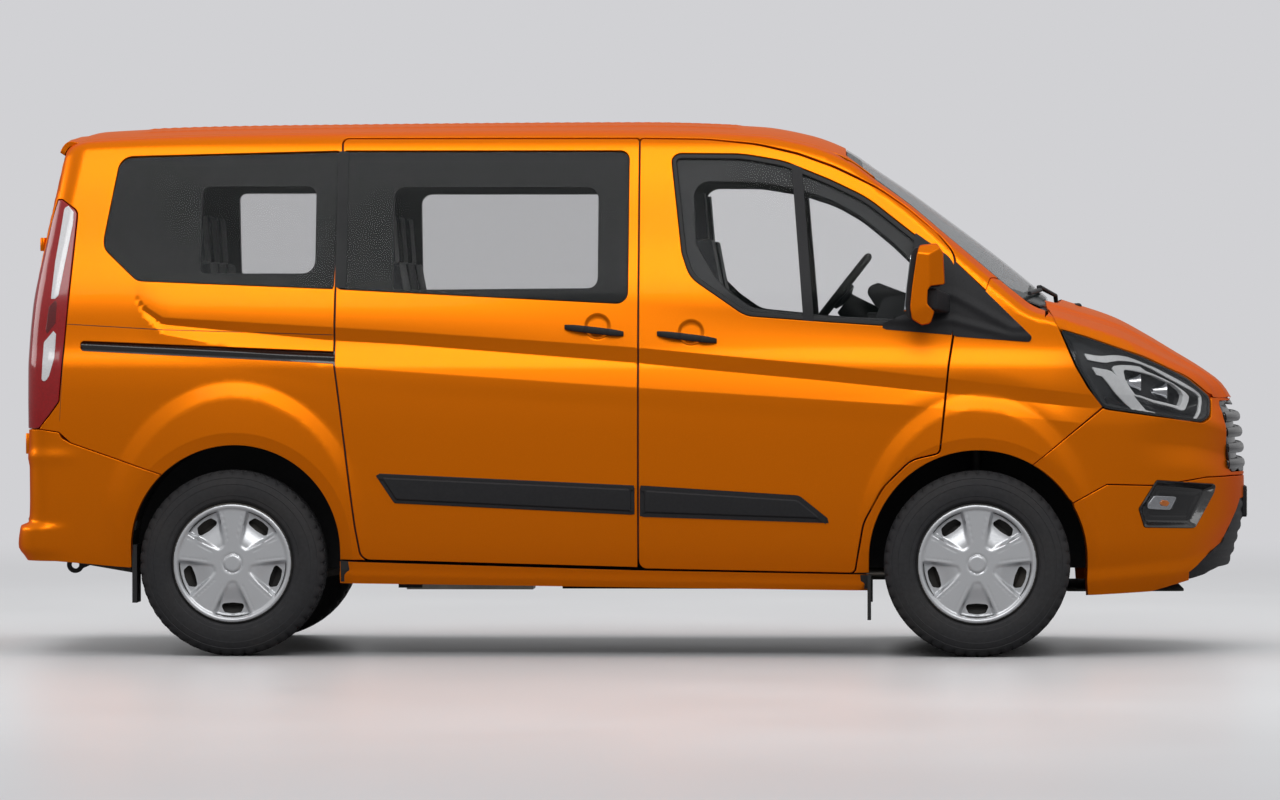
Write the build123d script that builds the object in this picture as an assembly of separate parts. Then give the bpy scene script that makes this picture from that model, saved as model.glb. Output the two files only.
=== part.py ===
from build123d import *
import math
import os

# A compact eight-seat minibus with sliding side doors and twin rear doors, in millimetres.
# Frame: +X forwards, +Y to the vehicle's left, +Z up. The origin is on the ground at the centre of the body's
# box. Every piece is its own solid or set of solids, written to parts/NODE.step.

# ---- Driving dimensions ----
FRONT_AXLE_X = 1347.0
REAR_AXLE_X = -1533.0
TYRE_RADIUS = 360.0
TYRE_WIDTH = 225.0
WHEEL_Y = 853.0  # centre of each tyre's width
RIM_RADIUS = 219.0
RIM_FLANGE_RADIUS = 233.0
KINGPIN_Y = 775.0
SIDE_THICKNESS = 72.0
REAR_THICKNESS = 62.0
ROOF_THICKNESS = 45.0
NOSE_THICKNESS = 50.0
GLASS_THICKNESS = 12.0
GLASS_INSET = 4.0  # depth of a pane's face below the panel around it
GAP = 8.0  # shut line between panels
FAR = 3000.0
ARCH_RADIUS = 420.0
FRONT_ARCH_CENTRE = (1351.0, 378.0)
REAR_ARCH_CENTRE = (-1521.0, 412.0)
REAR_ARCH_RADIUS = 404.0
REAR_DOOR_HALF = 800.0
REAR_DOOR_BOTTOM = 530.0
REAR_DOOR_TOP = 1935.0
ROOF_EDGE_Y = 690.0
JACK_PAD_X = (-850.0, 700.0)
TOW_EYE_CENTRE = (-2290.0, 308.0)
TOW_EYE_RADIUS = 16.0
TOW_EYE_WIDTH = 18.0
NOSE_START_X = 1450.0  # where the sides begin to curve in towards the nose

# Plan sections of the body, from the sill up. Columns: height, half width, rear face x, nose tip x.
BODY_ROWS = [
    (236.0, 890.0, -2335.0, 2290.0),
    (335.0, 934.0, -2347.0, 2352.0),
    (430.0, 960.0, -2354.0, 2384.0),
    (560.0, 976.0, -2338.0, 2412.0),
    (640.0, 981.0, -2337.0, 2412.0),
    (920.0, 987.0, -2339.0, 2392.0),
    (1010.0, 986.0, -2340.0, 2350.0),
    (1110.0, 981.0, -2340.0, 2320.0),
    (1200.0, 963.0, -2337.0, 2300.0),
    (1350.0, 946.0, -2325.0, 2290.0),
    (1600.0, 884.0, -2286.0, 2280.0),
    (1950.0, 796.0, -2218.0, 2260.0),
    (1992.0, 779.0, -2211.0, 2250.0),
    (2022.0, 748.0, -2206.0, 2240.0),
    (2045.0, 700.0, -2204.0, 2230.0),
    (2100.0, 560.0, -2200.0, 2220.0),
]
# Top sections from the rear forwards. Columns: x, height on the centreline, drop at y = 800.
CAB_TOP_ROWS = [
    (-2420.0, 1880.0, 62.0),
    (-2225.0, 2010.0, 62.0),
    (-2100.0, 2050.0, 62.0),
    (-1150.0, 2076.0, 62.0),
    (20.0, 2084.0, 62.0),
    (495.0, 2068.0, 62.0),
    (693.0, 2034.0, 63.0),
    (838.0, 1980.0, 64.0),
    (967.0, 1894.0, 68.0),
    (1082.0, 1817.0, 74.0),
    (1256.0, 1690.0, 90.0),
    (1430.0, 1560.0, 97.0),
    (1631.0, 1397.0, 98.0),
    (1800.0, 1250.0, 98.0),
]
NOSE_TOP_ROWS = [
    (1230.0, 1445.0, 50.0),
    (1500.0, 1412.0, 52.0),
    (1640.0, 1388.0, 56.0),
    (1745.0, 1357.0, 60.0),
    (1895.0, 1306.0, 64.0),
    (2011.0, 1245.0, 66.0),
    (2128.0, 1175.0, 66.0),
    (2244.0, 1104.0, 62.0),
    (2330.0, 1040.0, 55.0),
    (2440.0, 930.0, 50.0),
]


# ---- Drawing helpers ----
def rounded_face(corners, place):
    """A face from corners (a, b, radius); place turns (a, b) into a point."""
    count = len(corners)
    ends = []
    for i, (a, b, radius) in enumerate(corners):
        before = corners[i - 1]
        after = corners[(i + 1) % count]
        to_before = math.atan2(before[1] - b, before[0] - a)
        to_after = math.atan2(after[1] - b, after[0] - a)
        inside = abs((to_after - to_before + math.pi) % (2 * math.pi) - math.pi)
        if radius < 0.5 or abs(inside - math.pi) < 0.01:
            ends.append(((a, b), None, (a, b)))
            continue
        reach = radius / math.tan(inside / 2)
        start = (a + reach * math.cos(to_before), b + reach * math.sin(to_before))
        end = (a + reach * math.cos(to_after), b + reach * math.sin(to_after))
        middle_x = (start[0] + end[0]) / 2 - a
        middle_y = (start[1] + end[1]) / 2 - b
        half = math.hypot(middle_x, middle_y)
        near = radius / math.sin(inside / 2) - radius
        ends.append((start, (a + middle_x / half * near, b + middle_y / half * near), end))
    edges = []
    for i, (start, middle, end) in enumerate(ends):
        if middle is not None:
            edges.append(Edge.make_three_point_arc(place(*start), place(*middle), place(*end)))
        following = ends[(i + 1) % count][0]
        if math.dist(end, following) > 0.01:
            edges.append(Edge.make_line(place(*end), place(*following)))
    return Face(Wire(edges))


def side_prism(corners, low_y, high_y):
    """A prism whose outline is given in side view as (x, z, radius)."""
    face = rounded_face(corners, lambda a, b: Vector(a, low_y, b))
    return Solid.extrude(face, Vector(0, high_y - low_y, 0))


def rear_prism(corners, low_x, high_x):
    """A prism whose outline is given in rear view as (y, z, radius)."""
    face = rounded_face(corners, lambda a, b: Vector(low_x, a, b))
    return Solid.extrude(face, Vector(high_x - low_x, 0, 0))


def top_prism(corners, low_z, high_z):
    """A prism whose outline is given in plan as (x, y, radius)."""
    face = rounded_face(corners, lambda a, b: Vector(a, b, low_z))
    return Solid.extrude(face, Vector(0, 0, high_z - low_z))


def block(low, high):
    size = [high[i] - low[i] for i in range(3)]
    return Pos(*[(low[i] + high[i]) / 2 for i in range(3)]) * Box(*size)


def rod(start, end, radius):
    """A straight round bar from start to end."""
    way = Vector(*end) - Vector(*start)
    return Solid.make_cylinder(radius, way.length, Plane(Vector(*start), z_dir=way))


def y_disc(x, y_low, y_high, z, radius):
    return rod((x, y_low, z), (x, y_high, z), radius)


def mirrored(shape):
    return mirror(shape, Plane.XZ)


def grown(corners, amount):
    """An outline moved outwards, corner by corner; corners run either way round."""
    count = len(corners)
    area = sum(
        corners[i][0] * corners[(i + 1) % count][1] - corners[(i + 1) % count][0] * corners[i][1]
        for i in range(count)
    )
    sign = 1 if area > 0 else -1
    moved = []
    for i, (a, b, radius) in enumerate(corners):
        before = corners[i - 1]
        after = corners[(i + 1) % count]
        first = math.atan2(b - before[1], a - before[0])
        second = math.atan2(after[1] - b, after[0] - a)
        turn = (second - first + math.pi) % (2 * math.pi) - math.pi
        bisector = first + turn / 2 - sign * math.pi / 2
        reach = amount / math.cos(turn / 2)
        convex = turn * sign > 0
        new_radius = 0 if radius < 0.5 else max(1.0, radius + (amount if convex else -amount))
        moved.append((a + reach * math.cos(bisector), b + reach * math.sin(bisector), new_radius))
    return moved


# ---- The body's outer and inner surfaces ----
# Where the nose's arcs meet, as shares of its length and half width
NOSE_CORNERS = [(0.62, 0.879), (0.93, 0.527)]


def bent(start, end, turn):
    """Three points of an arc from start to end that turns right by the given angle."""
    chord_x = end[0] - start[0]
    chord_y = end[1] - start[1]
    lift = math.tan(turn / 4) / 2
    middle = ((start[0] + end[0]) / 2 - chord_y * lift, (start[1] + end[1]) / 2 + chord_x * lift)
    return [start, middle, end]


def heading(start, end):
    """The angle below the X axis of the way from start to end."""
    return math.atan2(start[1] - end[1], end[0] - start[0])


def plan_wire(z, half_width, rear_x, nose_x, corner):
    """One closed plan outline: rear face, round rear corners, straight sides and a curved nose."""
    length = nose_x - NOSE_START_X
    start = (NOSE_START_X, half_width)
    first, second = [(NOSE_START_X + u * length, v * half_width) for u, v in NOSE_CORNERS]
    tip = (nose_x, 0.0)
    first_turn = 2 * heading(start, first)
    last_turn = 2 * (math.pi / 2 - heading(second, tip))
    middle_turn = math.pi / 2 - last_turn - first_turn
    bow = 12.0
    rear_side = (rear_x + bow, half_width - corner)
    corner_end = (rear_x + bow + corner, half_width - 6.0)
    half = [
        bent((rear_x, 0.0), rear_side, 2 * bow / rear_side[1]),
        bent(rear_side, corner_end, math.radians(82)),
        bent(corner_end, (rear_x + 800, half_width), 2 * math.atan2(6.0, 800 - bow - corner)),
        [(rear_x + 800, half_width), start],
        bent(start, first, first_turn),
        bent(first, second, middle_turn),
        bent(second, tip, last_turn),
    ]
    edges = []
    for way in (1, -1):
        run = half if way == 1 else [list(reversed(piece)) for piece in reversed(half)]
        for piece in run:
            points = [Vector(x, y * way, z) for x, y in piece]
            if len(points) == 2:
                edges.append(Edge.make_line(*points))
            else:
                edges.append(Edge.make_three_point_arc(*points))
    return Wire(edges)


def body_loft(inset, rear_inset, nose_inset, rows=BODY_ROWS):
    wires = [
        plan_wire(z, half - inset, rear + rear_inset, nose - nose_inset, 85.0)
        for z, half, rear, nose in rows
    ]
    return Solid.make_loft(wires, ruled=True)


def top_loft(rows, lowered, forward=0.0):
    wires = []
    for x, centre_z, drop in rows:
        z = centre_z - lowered
        low, wide = 100.0, 1100.0
        fall = drop * (wide / 800.0) ** 2
        frame = [(-wide, z - fall), (-wide, low), (wide, low), (wide, z - fall)]
        corners = [Vector(x - forward, y, h) for y, h in frame]
        edges = [Edge.make_line(corners[i], corners[i + 1]) for i in range(3)]
        edges.append(Edge.make_three_point_arc(corners[3], Vector(x - forward, 0, z), corners[0]))
        wires.append(Wire(edges))
    return Solid.make_loft(wires, ruled=True)


def body_solid(inset, rear_inset, nose_inset, cab_lowered, nose_lowered, forward=0.0):
    sides = body_loft(inset, rear_inset, nose_inset)
    tops = top_loft(CAB_TOP_ROWS, cab_lowered, forward) + top_loft(NOSE_TOP_ROWS, nose_lowered)
    return sides & tops


OUTER = body_solid(0, 0, 0, 0, 0)
INNER = body_solid(SIDE_THICKNESS, REAR_THICKNESS, NOSE_THICKNESS, ROOF_THICKNESS, 34.0)
UNDERSIDE = side_prism(
    [(-2500, 100, 0), (2560, 100, 0), (2560, 372, 0), (2345, 318, 0), (2023, 246, 0), (1500, 236, 0),
     (1500, 262, 0), (-2500, 262, 0)],
    -1100, 1100,
)
SHELL = OUTER - INNER - UNDERSIDE
PANE_OUTER = body_solid(GLASS_INSET, GLASS_INSET, 0, GLASS_INSET, 60)
PANE_INNER = body_solid(*[GLASS_INSET + GLASS_THICKNESS] * 2, 0, GLASS_INSET + GLASS_THICKNESS, 80)

# ---- Side-view outlines, as (x, z, corner radius) ----
FRONT_DOOR = [
    (43, 341, 30), (43, 2004, 12), (300, 2000, 900), (492, 1980, 600), (652, 1942, 300), (790, 1892, 500),
    (967, 1807, 500), (1081, 1728, 300), (1194, 1632, 200), (1258, 1556, 90), (1251, 1244, 100),
    (1233, 1131, 200), (1199, 790, 20), (1090, 765, 120), (981, 658, 200), (905, 520, 150), (872, 325, 20),
]
SLIDER = [
    (35, 346, 0), (36, 2004, 12), (-1112, 2004, 20), (-1111, 1957, 0), (-1130, 1400, 60), (-1133, 1135, 200),
    (-1114, 992, 200), (-1052, 500, 200), (-1030, 375, 40),
]
FRONT_WINDOW = [
    (186, 1948, 40), (440, 1946, 500), (599, 1918, 300), (778, 1845, 500), (922, 1776, 500), (1104, 1632, 60),
    (1225, 1530, 20), (1228, 1262, 20), (780, 1292, 300), (452, 1316, 120), (236, 1466, 120), (205, 1560, 80),
    (163, 1925, 30),
]
SLIDER_WINDOW = [(0, 1958, 35), (-2, 1362, 45), (-1128, 1420, 6), (-1108, 1958, 6)]
QUARTER_WINDOW = [
    (-1121, 1958, 6), (-1140, 1421, 6), (-1905, 1452, 50), (-2040, 1580, 60), (-2036, 1625, 60),
    (-1980, 1936, 60),
]
BONNET_SEAM = [
    (1612, 1374, 0), (1660, 1275, 20), (1762, 1245, 200), (1991, 1166, 300), (2164, 1086, 300),
    (2262, 1010, 60),
    (2520, 985, 0),
]
HEADLAMP = [
    (1666, 1267, 8), (1762, 1238, 200), (1991, 1159, 300), (2164, 1080, 300), (2260, 1003, 45),
    (2256, 925, 30),
    (2222, 903, 30), (1958, 943, 200), (1826, 962, 60), (1732, 1119, 300),
]
TAIL_LAMP = [
    (-2520, 1768, 0), (-2206, 1768, 10), (-2144, 1723, 25), (-2146, 1685, 40), (-2203, 985, 20),
    (-2282, 880, 20),
    (-2520, 880, 0),
]

parts = {}
LEFT = (600, 1100)  # reach in Y of a side prism that meets the left side alone


def both_sides(name, left):
    """Adds a left piece and its mirror image as two nodes."""
    parts[name + "_left"] = left
    parts[name + "_right"] = mirrored(left)


def pair(left):
    """A left piece and its mirror image in one shape."""
    return Compound(children=[*left.solids(), *mirrored(left).solids()])


def pane(zone):
    """A sheet of glass just under the body's surface, within a zone."""
    return (PANE_OUTER & zone) - PANE_INNER


# ---- Side doors and side glass ----
# A door's edge is stepped, so that only a thin outer skin comes close to its neighbour.
SKIN = 14.0
STEP = 22.0
door_step = body_solid(SKIN, SKIN, SKIN, 30, 30) & side_prism(
    [(0, 200, 0), (0, 2100, 0), (FRONT_DOOR[0][0] + STEP, 2100, 0), (FRONT_DOOR[0][0] + STEP, 200, 0)], *LEFT
)
SIDE_SLAB = OUTER - body_loft(SIDE_THICKNESS, -200, -200)
front_door = (SIDE_SLAB & side_prism(FRONT_DOOR, *LEFT)) - side_prism(FRONT_WINDOW, *LEFT) - door_step
handle_bar = side_prism([(112, 1261, 6), (343, 1234, 10), (343, 1206, 10), (112, 1236, 6)], 935, 985)
front_strip = side_prism([(43, 660, 0), (660, 622, 60), (786, 521, 6), (43, 545, 0)], 940, 993)
window_post = (body_loft(18, 0, 0) - body_loft(46, 0, 0)) & side_prism(
    [(620, 1925, 0), (658, 1918, 0), (718, 1280, 0), (680, 1285, 0)], *LEFT
)
front_door = front_door + handle_bar + front_strip + window_post
both_sides("front_door", front_door)
both_sides("front_door_glass", pane(side_prism(FRONT_WINDOW, *LEFT)))

slider = (SIDE_SLAB & side_prism(SLIDER, *LEFT)) - side_prism(SLIDER_WINDOW, *LEFT)
slider_handle = side_prism([(-245, 1290, 6), (-17, 1262, 10), (-17, 1236, 10), (-245, 1262, 6)], 930, 982)
slider_strip = side_prism([(35, 660, 0), (-980, 709, 6), (-903, 593, 20), (35, 548, 0)], 940, 993)
both_sides("sliding_door", slider + slider_handle + slider_strip)
slider_pane = pane(side_prism(SLIDER_WINDOW, *LEFT))
quarter_pane = pane(side_prism(QUARTER_WINDOW, *LEFT))
parts["side_windows"] = Compound(
    children=[*pair(slider_pane).solids(), *pair(quarter_pane).solids()]
)

# ---- Windscreen, cut square to its own slope ----
SCREEN_FOOT = Vector(1631, 0, 1397)
SCREEN_HEAD = Vector(838, 0, 1980)
SCREEN_UP = (SCREEN_HEAD - SCREEN_FOOT).normalized()
SCREEN_OUT = SCREEN_UP.cross(Vector(0, -1, 0))
# Corners of the windscreen. Columns: way up the glass from its foot, y, radius.
SCREEN = [(-4, -560, 300), (-4, 560, 300), (140, 826, 110), (975, 640, 70), (984, 0, 3000), (975, -640, 70),
          (140, -826, 110)]


def screen_prism(corners, depth):
    base = SCREEN_FOOT - SCREEN_OUT * depth
    face = rounded_face(corners, lambda a, b: base + SCREEN_UP * a + Vector(0, b, 0))
    return Solid.extrude(face, SCREEN_OUT * (2 * depth))


screen_hole = screen_prism(SCREEN, 150)
screen_outer = top_loft(CAB_TOP_ROWS, 3) & screen_hole
parts["windscreen"] = (screen_outer & body_loft(0, 0, 0)) - top_loft(CAB_TOP_ROWS, 3 + GLASS_THICKNESS)

# ---- Body sides: pillars, cantrail and rear quarter ----


def arch(centre, radius, low_y, high_y):
    """A wheel arch: a cylinder over the wheel, open downwards."""
    x, z = centre
    return y_disc(x, low_y, high_y, z, radius) + block((x - radius, low_y, 0), (x + radius, high_y, z))


rear_arch = arch(REAR_ARCH_CENTRE, REAR_ARCH_RADIUS, 500, 1100)
front_arch = arch(FRONT_ARCH_CENTRE, ARCH_RADIUS, 420, 1100)
side_region = side_prism(
    [(-2520, 372, 0), (-2520, 2200, 0), (1500, 2200, 0), (1500, 1600, 0), (1421, 1465, 0), (1381, 1414, 0),
     (1264, 1525, 0), (1200, 1500, 0), (1150, 900, 0), (850, 500, 0), (850, 372, 0)],
    ROOF_EDGE_Y, 1100,
)
REAR_SLAB = OUTER - body_solid(0, REAR_THICKNESS, 0, 0, 0)
REAR_DOOR = [
    (4, REAR_DOOR_BOTTOM, 20), (4, REAR_DOOR_TOP, 12), (690, REAR_DOOR_TOP, 50), (742, 1780, 300),
    (770, 1480, 600),
    (797, 1050, 300), (797, REAR_DOOR_BOTTOM, 30),
]
REAR_WINDOW = [(48, 1290, 40), (48, 1860, 50), (650, 1860, 60), (712, 1300, 50)]
rear_door_hole = rear_prism(
    [(-10, REAR_DOOR_BOTTOM - 10, 0), (-10, REAR_DOOR_TOP + GAP, 0), *grown(REAR_DOOR, GAP)[2:6],
     (797 + GAP, REAR_DOOR_BOTTOM - 10, 0)],
    -2520, -2000,
) & (OUTER - body_solid(0, REAR_THICKNESS + 12, 0, 0, 0))
tail_lamp_zone = side_prism(TAIL_LAMP, REAR_DOOR_HALF + 10, 1100)
bumper_side_zone = side_prism(
    [(-2520, 100, 0), (-2520, 880, 0), (-2282, 880, 0), (-2203, 868, 0), (-2190, 846, 20), (-2155, 826, 20),
     (-1807, 705, 0), (-1760, 600, 0), (-1760, 100, 0)],
    0, 1100,
)
rail_slot = side_prism([(-2120, 1220, 18), (-1136, 1180, 0), (-1136, 1132, 0), (-2120, 1182, 18)], 700, 1100)
rail_slot -= body_loft(22, 26, 26)
body_side = (
    (SHELL & side_region)
    - side_prism(grown(FRONT_DOOR, GAP), *LEFT)
    - side_prism(grown(SLIDER, GAP), *LEFT)
    - side_prism(QUARTER_WINDOW, *LEFT)
    - rear_arch - front_arch - tail_lamp_zone - bumper_side_zone - rear_door_hole - screen_hole - rail_slot
)
pillar = rod((1440, 774, 1408), (800, 700, 1880), 28) - block((700, 0, 1855), (1000, ROOF_EDGE_Y + 1, 2000))
both_sides("body_side", body_side + pillar)

# ---- Roof with its rear lip ----
roof = (SHELL & block((-2420, -ROOF_EDGE_Y, 1860), (1000, ROOF_EDGE_Y, 2200))) - screen_hole
roof = roof - rear_door_hole - mirrored(rear_door_hole)
lip = (OUTER & block((-2420, -ROOF_EDGE_Y, 1985), (-2150, ROOF_EDGE_Y, 2200))) - block(
    (-2420, -800, 0), (-2100, 800, REAR_DOOR_TOP + GAP)
)
parts["roof"] = roof + (Pos(-26, 0, -8) * lip)

# ---- Rear doors and their glass ----
rear_step = (OUTER - body_solid(0, REAR_THICKNESS + 4, 0, 0, 0)) & body_loft(0, SKIN, 0) & block(
    (-2420, 0, 500), (-2100, 4 + STEP, 2000)
)
rear_door = (REAR_SLAB & rear_prism(REAR_DOOR, -2520, -2000)) - rear_prism(REAR_WINDOW, -2520, -2000)
rear_door = rear_door - rear_step
both_sides("rear_door", rear_door)
both_sides("rear_door_glass", (REAR_SLAB & rear_prism(REAR_WINDOW, -2520, -2000)) & (
    body_loft(0, 4, 0) - body_loft(0, 4 + GLASS_THICKNESS, 0)
))

# ---- Tail lamps and rear bumper ----
tail_lamp = (OUTER & side_prism(TAIL_LAMP, REAR_DOOR_HALF + 10, 1100)) - body_loft(60, 60, 60)
parts["tail_lamps"] = pair(tail_lamp)
rear_bumper_block = OUTER & (bumper_side_zone + mirrored(bumper_side_zone))
rear_bumper = rear_bumper_block - body_loft(60, 60, 60) - rear_arch - mirrored(rear_arch)
rear_bumper -= block((-2520, -REAR_DOOR_HALF - 8, REAR_DOOR_BOTTOM - GAP), (-2100, REAR_DOOR_HALF + 8, 1000))
rear_bumper -= side_prism([(-2520, 100, 0), (-2520, 352, 0), (-2267, 370, 0), (-1945, 339, 0),
                           (-1700, 330, 0),
                           (-1700, 100, 0)], -1100, 1100)
rear_step_plate = body_loft(-26, -34, 0) & block((-2420, -930, 400), (-2250, 930, 518))
rear_step_plate -= body_loft(60, 60, 60)
parts["rear_bumper"] = rear_bumper + rear_step_plate

# ---- Front wings, bonnet, headlamps, grille and bumper ----
BONNET_ZONE = [*BONNET_SEAM, (2520, 1500, 0), (1612, 1500, 0)]
bonnet_rear = Edge.make_three_point_arc((1612, -900, 900), (1690, 0, 900), (1612, 900, 900))
bonnet_plan = Face(Wire([
    bonnet_rear,
    Edge.make_line((1612, 900, 900), (2520, 1000, 900)),
    Edge.make_line((2520, 1000, 900), (2520, -1000, 900)),
    Edge.make_line((2520, -1000, 900), (1612, -900, 900)),
]))
bonnet_prism = Solid.extrude(bonnet_plan, Vector(0, 0, 700))
bonnet = (SHELL & side_prism(BONNET_ZONE, -1100, 1100)) & bonnet_prism
parts["bonnet"] = bonnet
bonnet_room = side_prism(grown(BONNET_ZONE, GAP), -1100, 1100)

LAMP_INNER_Y = 560.0
WING = [
    (800, 323, 0), (1100, 1000, 0), (1150, 1250, 0), (1200, 1500, 0), (1263, 1525, 0), (1381, 1414, 0),
    (1421, 1465, 0), (1630, 1540, 0), (1626, 1376, 0), (1664, 1274, 20), (1731, 1121, 300), (1838, 969, 0),
    (1565, 747, 0), (1400, 323, 0),
]
headlamp_zone = side_prism(HEADLAMP, LAMP_INNER_Y, 1100)
wing = (
    (SHELL & side_prism(WING, ROOF_EDGE_Y, 1100)) - front_arch - screen_hole - bonnet_room
    - side_prism(grown(FRONT_DOOR, GAP), *LEFT) - side_prism(grown(HEADLAMP, 3), LAMP_INNER_Y, 1100)
    - block((1400, 0, 1200), (1720, 806, 1500))
)
parts["front_wings"] = pair(wing)

headlamp = (SHELL & headlamp_zone) - bonnet_room
parts["headlamps"] = pair(headlamp)

GRILLE_TOP = 985.0
GRILLE_BOTTOM = 700.0
grille_zone = block((2150, -LAMP_INNER_Y + 6, GRILLE_BOTTOM), (2520, LAMP_INNER_Y - 6, GRILLE_TOP))
GRILLE_BARS = (722.0, 802.0, 882.0, 962.0)
GRILLE_BAR_HALF = 16.0
grille = (SHELL & grille_zone) - bonnet_room
grille_skin = OUTER - body_solid(24, 24, 24, 0, 0)
for low_bar, high_bar in zip(GRILLE_BARS, GRILLE_BARS[1:]):
    grille -= grille_skin & block(
        (2150, -LAMP_INNER_Y + 30, low_bar + GRILLE_BAR_HALF),
        (2520, LAMP_INNER_Y - 30, high_bar - GRILLE_BAR_HALF),
    )
parts["grille"] = grille

FRONT_BUMPER = [
    (1773, 100, 0), (1773, 500, 0), (1565, 741, 0), (1836, 961, 0), (1958, 937, 0), (2222, 897, 0),
    (2262, 920, 0),
    (2266, 985, 0), (2520, 985, 0), (2520, 100, 0),
]
bumper_zone = side_prism(FRONT_BUMPER, -1100, 1100)
front_bumper = (SHELL & bumper_zone) - front_arch - mirrored(front_arch) - bonnet_room - grille_zone
front_bumper = front_bumper - headlamp_zone - mirrored(headlamp_zone)
FOG_RECESS = [
    (1985, 575, 10), (2041, 672, 12), (2275, 655, 12), (2268, 626, 12), (2193, 500, 12), (1997, 505, 10),
]
fog_recess = (OUTER - body_solid(28, 28, 28, 0, 0)) & side_prism(FOG_RECESS, 500, 1100)
VALANCE = [(2169, 100, 0), (2169, 322, 0), (2310, 430, 0), (2362, 548, 0), (2520, 548, 0), (2520, 100, 0)]
valance_zone = side_prism(VALANCE, -1100, 1100)
front_bumper = front_bumper - fog_recess - mirrored(fog_recess)
parts["front_valance"] = front_bumper & valance_zone
parts["front_bumper"] = front_bumper - valance_zone

# ---- Cowl under the windscreen's foot ----
cowl_plan = Face(Wire([
    Edge.make_three_point_arc((1598, -800, 1200), (1682, 0, 1200), (1598, 800, 1200)),
    Edge.make_line((1598, 800, 1200), (1500, 800, 1200)),
    Edge.make_line((1500, 800, 1200), (1500, -800, 1200)),
    Edge.make_line((1500, -800, 1200), (1598, -800, 1200)),
]))
cowl = top_loft(NOSE_TOP_ROWS, 14) - top_loft(NOSE_TOP_ROWS, 44)
cowl = cowl & Solid.extrude(cowl_plan, Vector(0, 0, 400))
parts["cowl"] = cowl - top_loft(CAB_TOP_ROWS, 3 + GLASS_THICKNESS + 4) - screen_hole

# ---- Wipers, resting at the windscreen's foot ----
WIPER_RADIUS = 8.0
# Each wiper's blade and its arm, as points (x, y, z) of a bent rod.
WIPERS = [
    [[(1560, 660, 1406), (1606, 320, 1420), (1618, 20, 1425)],
     [(1606, 320, 1432), (1668, 70, 1398), (1670, 50, 1374)]],
    [[(1618, -60, 1425), (1600, -380, 1418), (1552, -700, 1404)],
     [(1600, -380, 1430), (1666, -130, 1396), (1668, -110, 1374)]],
]


def bent_rod(points, radius):
    """A round bar through points, with balls at its bends."""
    run = rod(points[0], points[1], radius)
    for start, end in zip(points[1:], points[2:]):
        run = run + rod(start, end, radius) + Pos(*start) * Sphere(radius)
    return run


wipers = [bent_rod(blade, WIPER_RADIUS) + bent_rod(arm, WIPER_RADIUS) for blade, arm in WIPERS]
parts["wipers"] = Compound(children=[wiper.solids()[0] for wiper in wipers])

# ---- Floor, sills, rails and bulkhead ----
FLOOR_TOP = 520.0
floor = block((-2296, -880, FLOOR_TOP - 36), (1490, 880, FLOOR_TOP)) & body_loft(85, 76, 60)
floor = floor - rear_arch - mirrored(rear_arch) - front_arch - mirrored(front_arch)
SILL = [(-1114, 369, 0), (-1030, 364, 0), (43, 333, 0), (924, 316, 0), (924, 262, 0), (-1114, 288, 0)]
sill = SHELL & side_prism(SILL, 0, 1100)
sill_box = block((-1110, 780, 300), (920, 850, FLOOR_TOP - 10))
rails = [
    block((-2250, y, 380), (2140, y + 80, FLOOR_TOP - 20)) - block((-1650, y, 300), (-1420, y + 80, 450))
    for y in (330, -410)
]
bulkhead = block((1490, -850, FLOOR_TOP - 36), (1510, 850, 1330)) - front_arch - mirrored(front_arch)
cab_step = block((100, -760, FLOOR_TOP - 5), (900, 760, FLOOR_TOP + 90))
floor_pan = floor + cab_step + sill + mirrored(sill) + sill_box + mirrored(sill_box)
floor_pan = floor_pan + rails[0] + rails[1] + bulkhead - front_arch - mirrored(front_arch)
jack_pads = [block((x - 45, 800, 262), (x + 45, 850, 310)) for x in JACK_PAD_X]
for jack_pad in jack_pads:
    floor_pan = floor_pan + jack_pad + mirrored(jack_pad)
tow_eye = y_disc(TOW_EYE_CENTRE[0], 361, 361 + TOW_EYE_WIDTH, TOW_EYE_CENTRE[1], 34)
tow_eye += side_prism(
    [(TOW_EYE_CENTRE[0], 330, 0), (TOW_EYE_CENTRE[0], 280, 0), (-2150, 340, 0), (-2150, 392, 0),
     (-2240, 392, 0)],
    361, 361 + TOW_EYE_WIDTH,
)
tow_eye -= y_disc(TOW_EYE_CENTRE[0], 300, 500, TOW_EYE_CENTRE[1], TOW_EYE_RADIUS)
parts["floor_pan"] = floor_pan + tow_eye

# ---- Wheel housings ----
LINER = 9.0


def housing(centre, radius, low_y, high_y):
    """A liner over a wheel: a shell open downwards and outwards."""
    outer = arch(centre, radius + 3 + LINER, low_y, high_y)
    inner = arch(centre, radius + 3, low_y + LINER, high_y + 100)
    return (outer - inner) & block((-3000, 0, 330), (3000, 1100, 1000)) & INNER


rear_housing = housing(REAR_ARCH_CENTRE, REAR_ARCH_RADIUS, 640, 1000)
AXLE_SLOT = 90.0  # half width of the slots in the liners, round the rear axle and the front strut
STRUT_SLOT = 170.0
rear_housing -= y_disc(REAR_AXLE_X, 600, 700, TYRE_RADIUS, AXLE_SLOT)
rear_housing -= block((REAR_AXLE_X - AXLE_SLOT, 600, 200), (REAR_AXLE_X + AXLE_SLOT, 700, TYRE_RADIUS))
front_housing = housing(FRONT_ARCH_CENTRE, ARCH_RADIUS, 470, 1000) & block((0, 0, 0), (1900, 1100, 1000))
front_slot = y_disc(FRONT_AXLE_X, 400, 600, 400, STRUT_SLOT)
front_slot += block((FRONT_AXLE_X - STRUT_SLOT, 400, 200), (FRONT_AXLE_X + STRUT_SLOT, 600, 400))
front_housing = front_housing - front_slot - rod((FRONT_AXLE_X, 655, 262), (FRONT_AXLE_X, 606, 940), 40)
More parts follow.
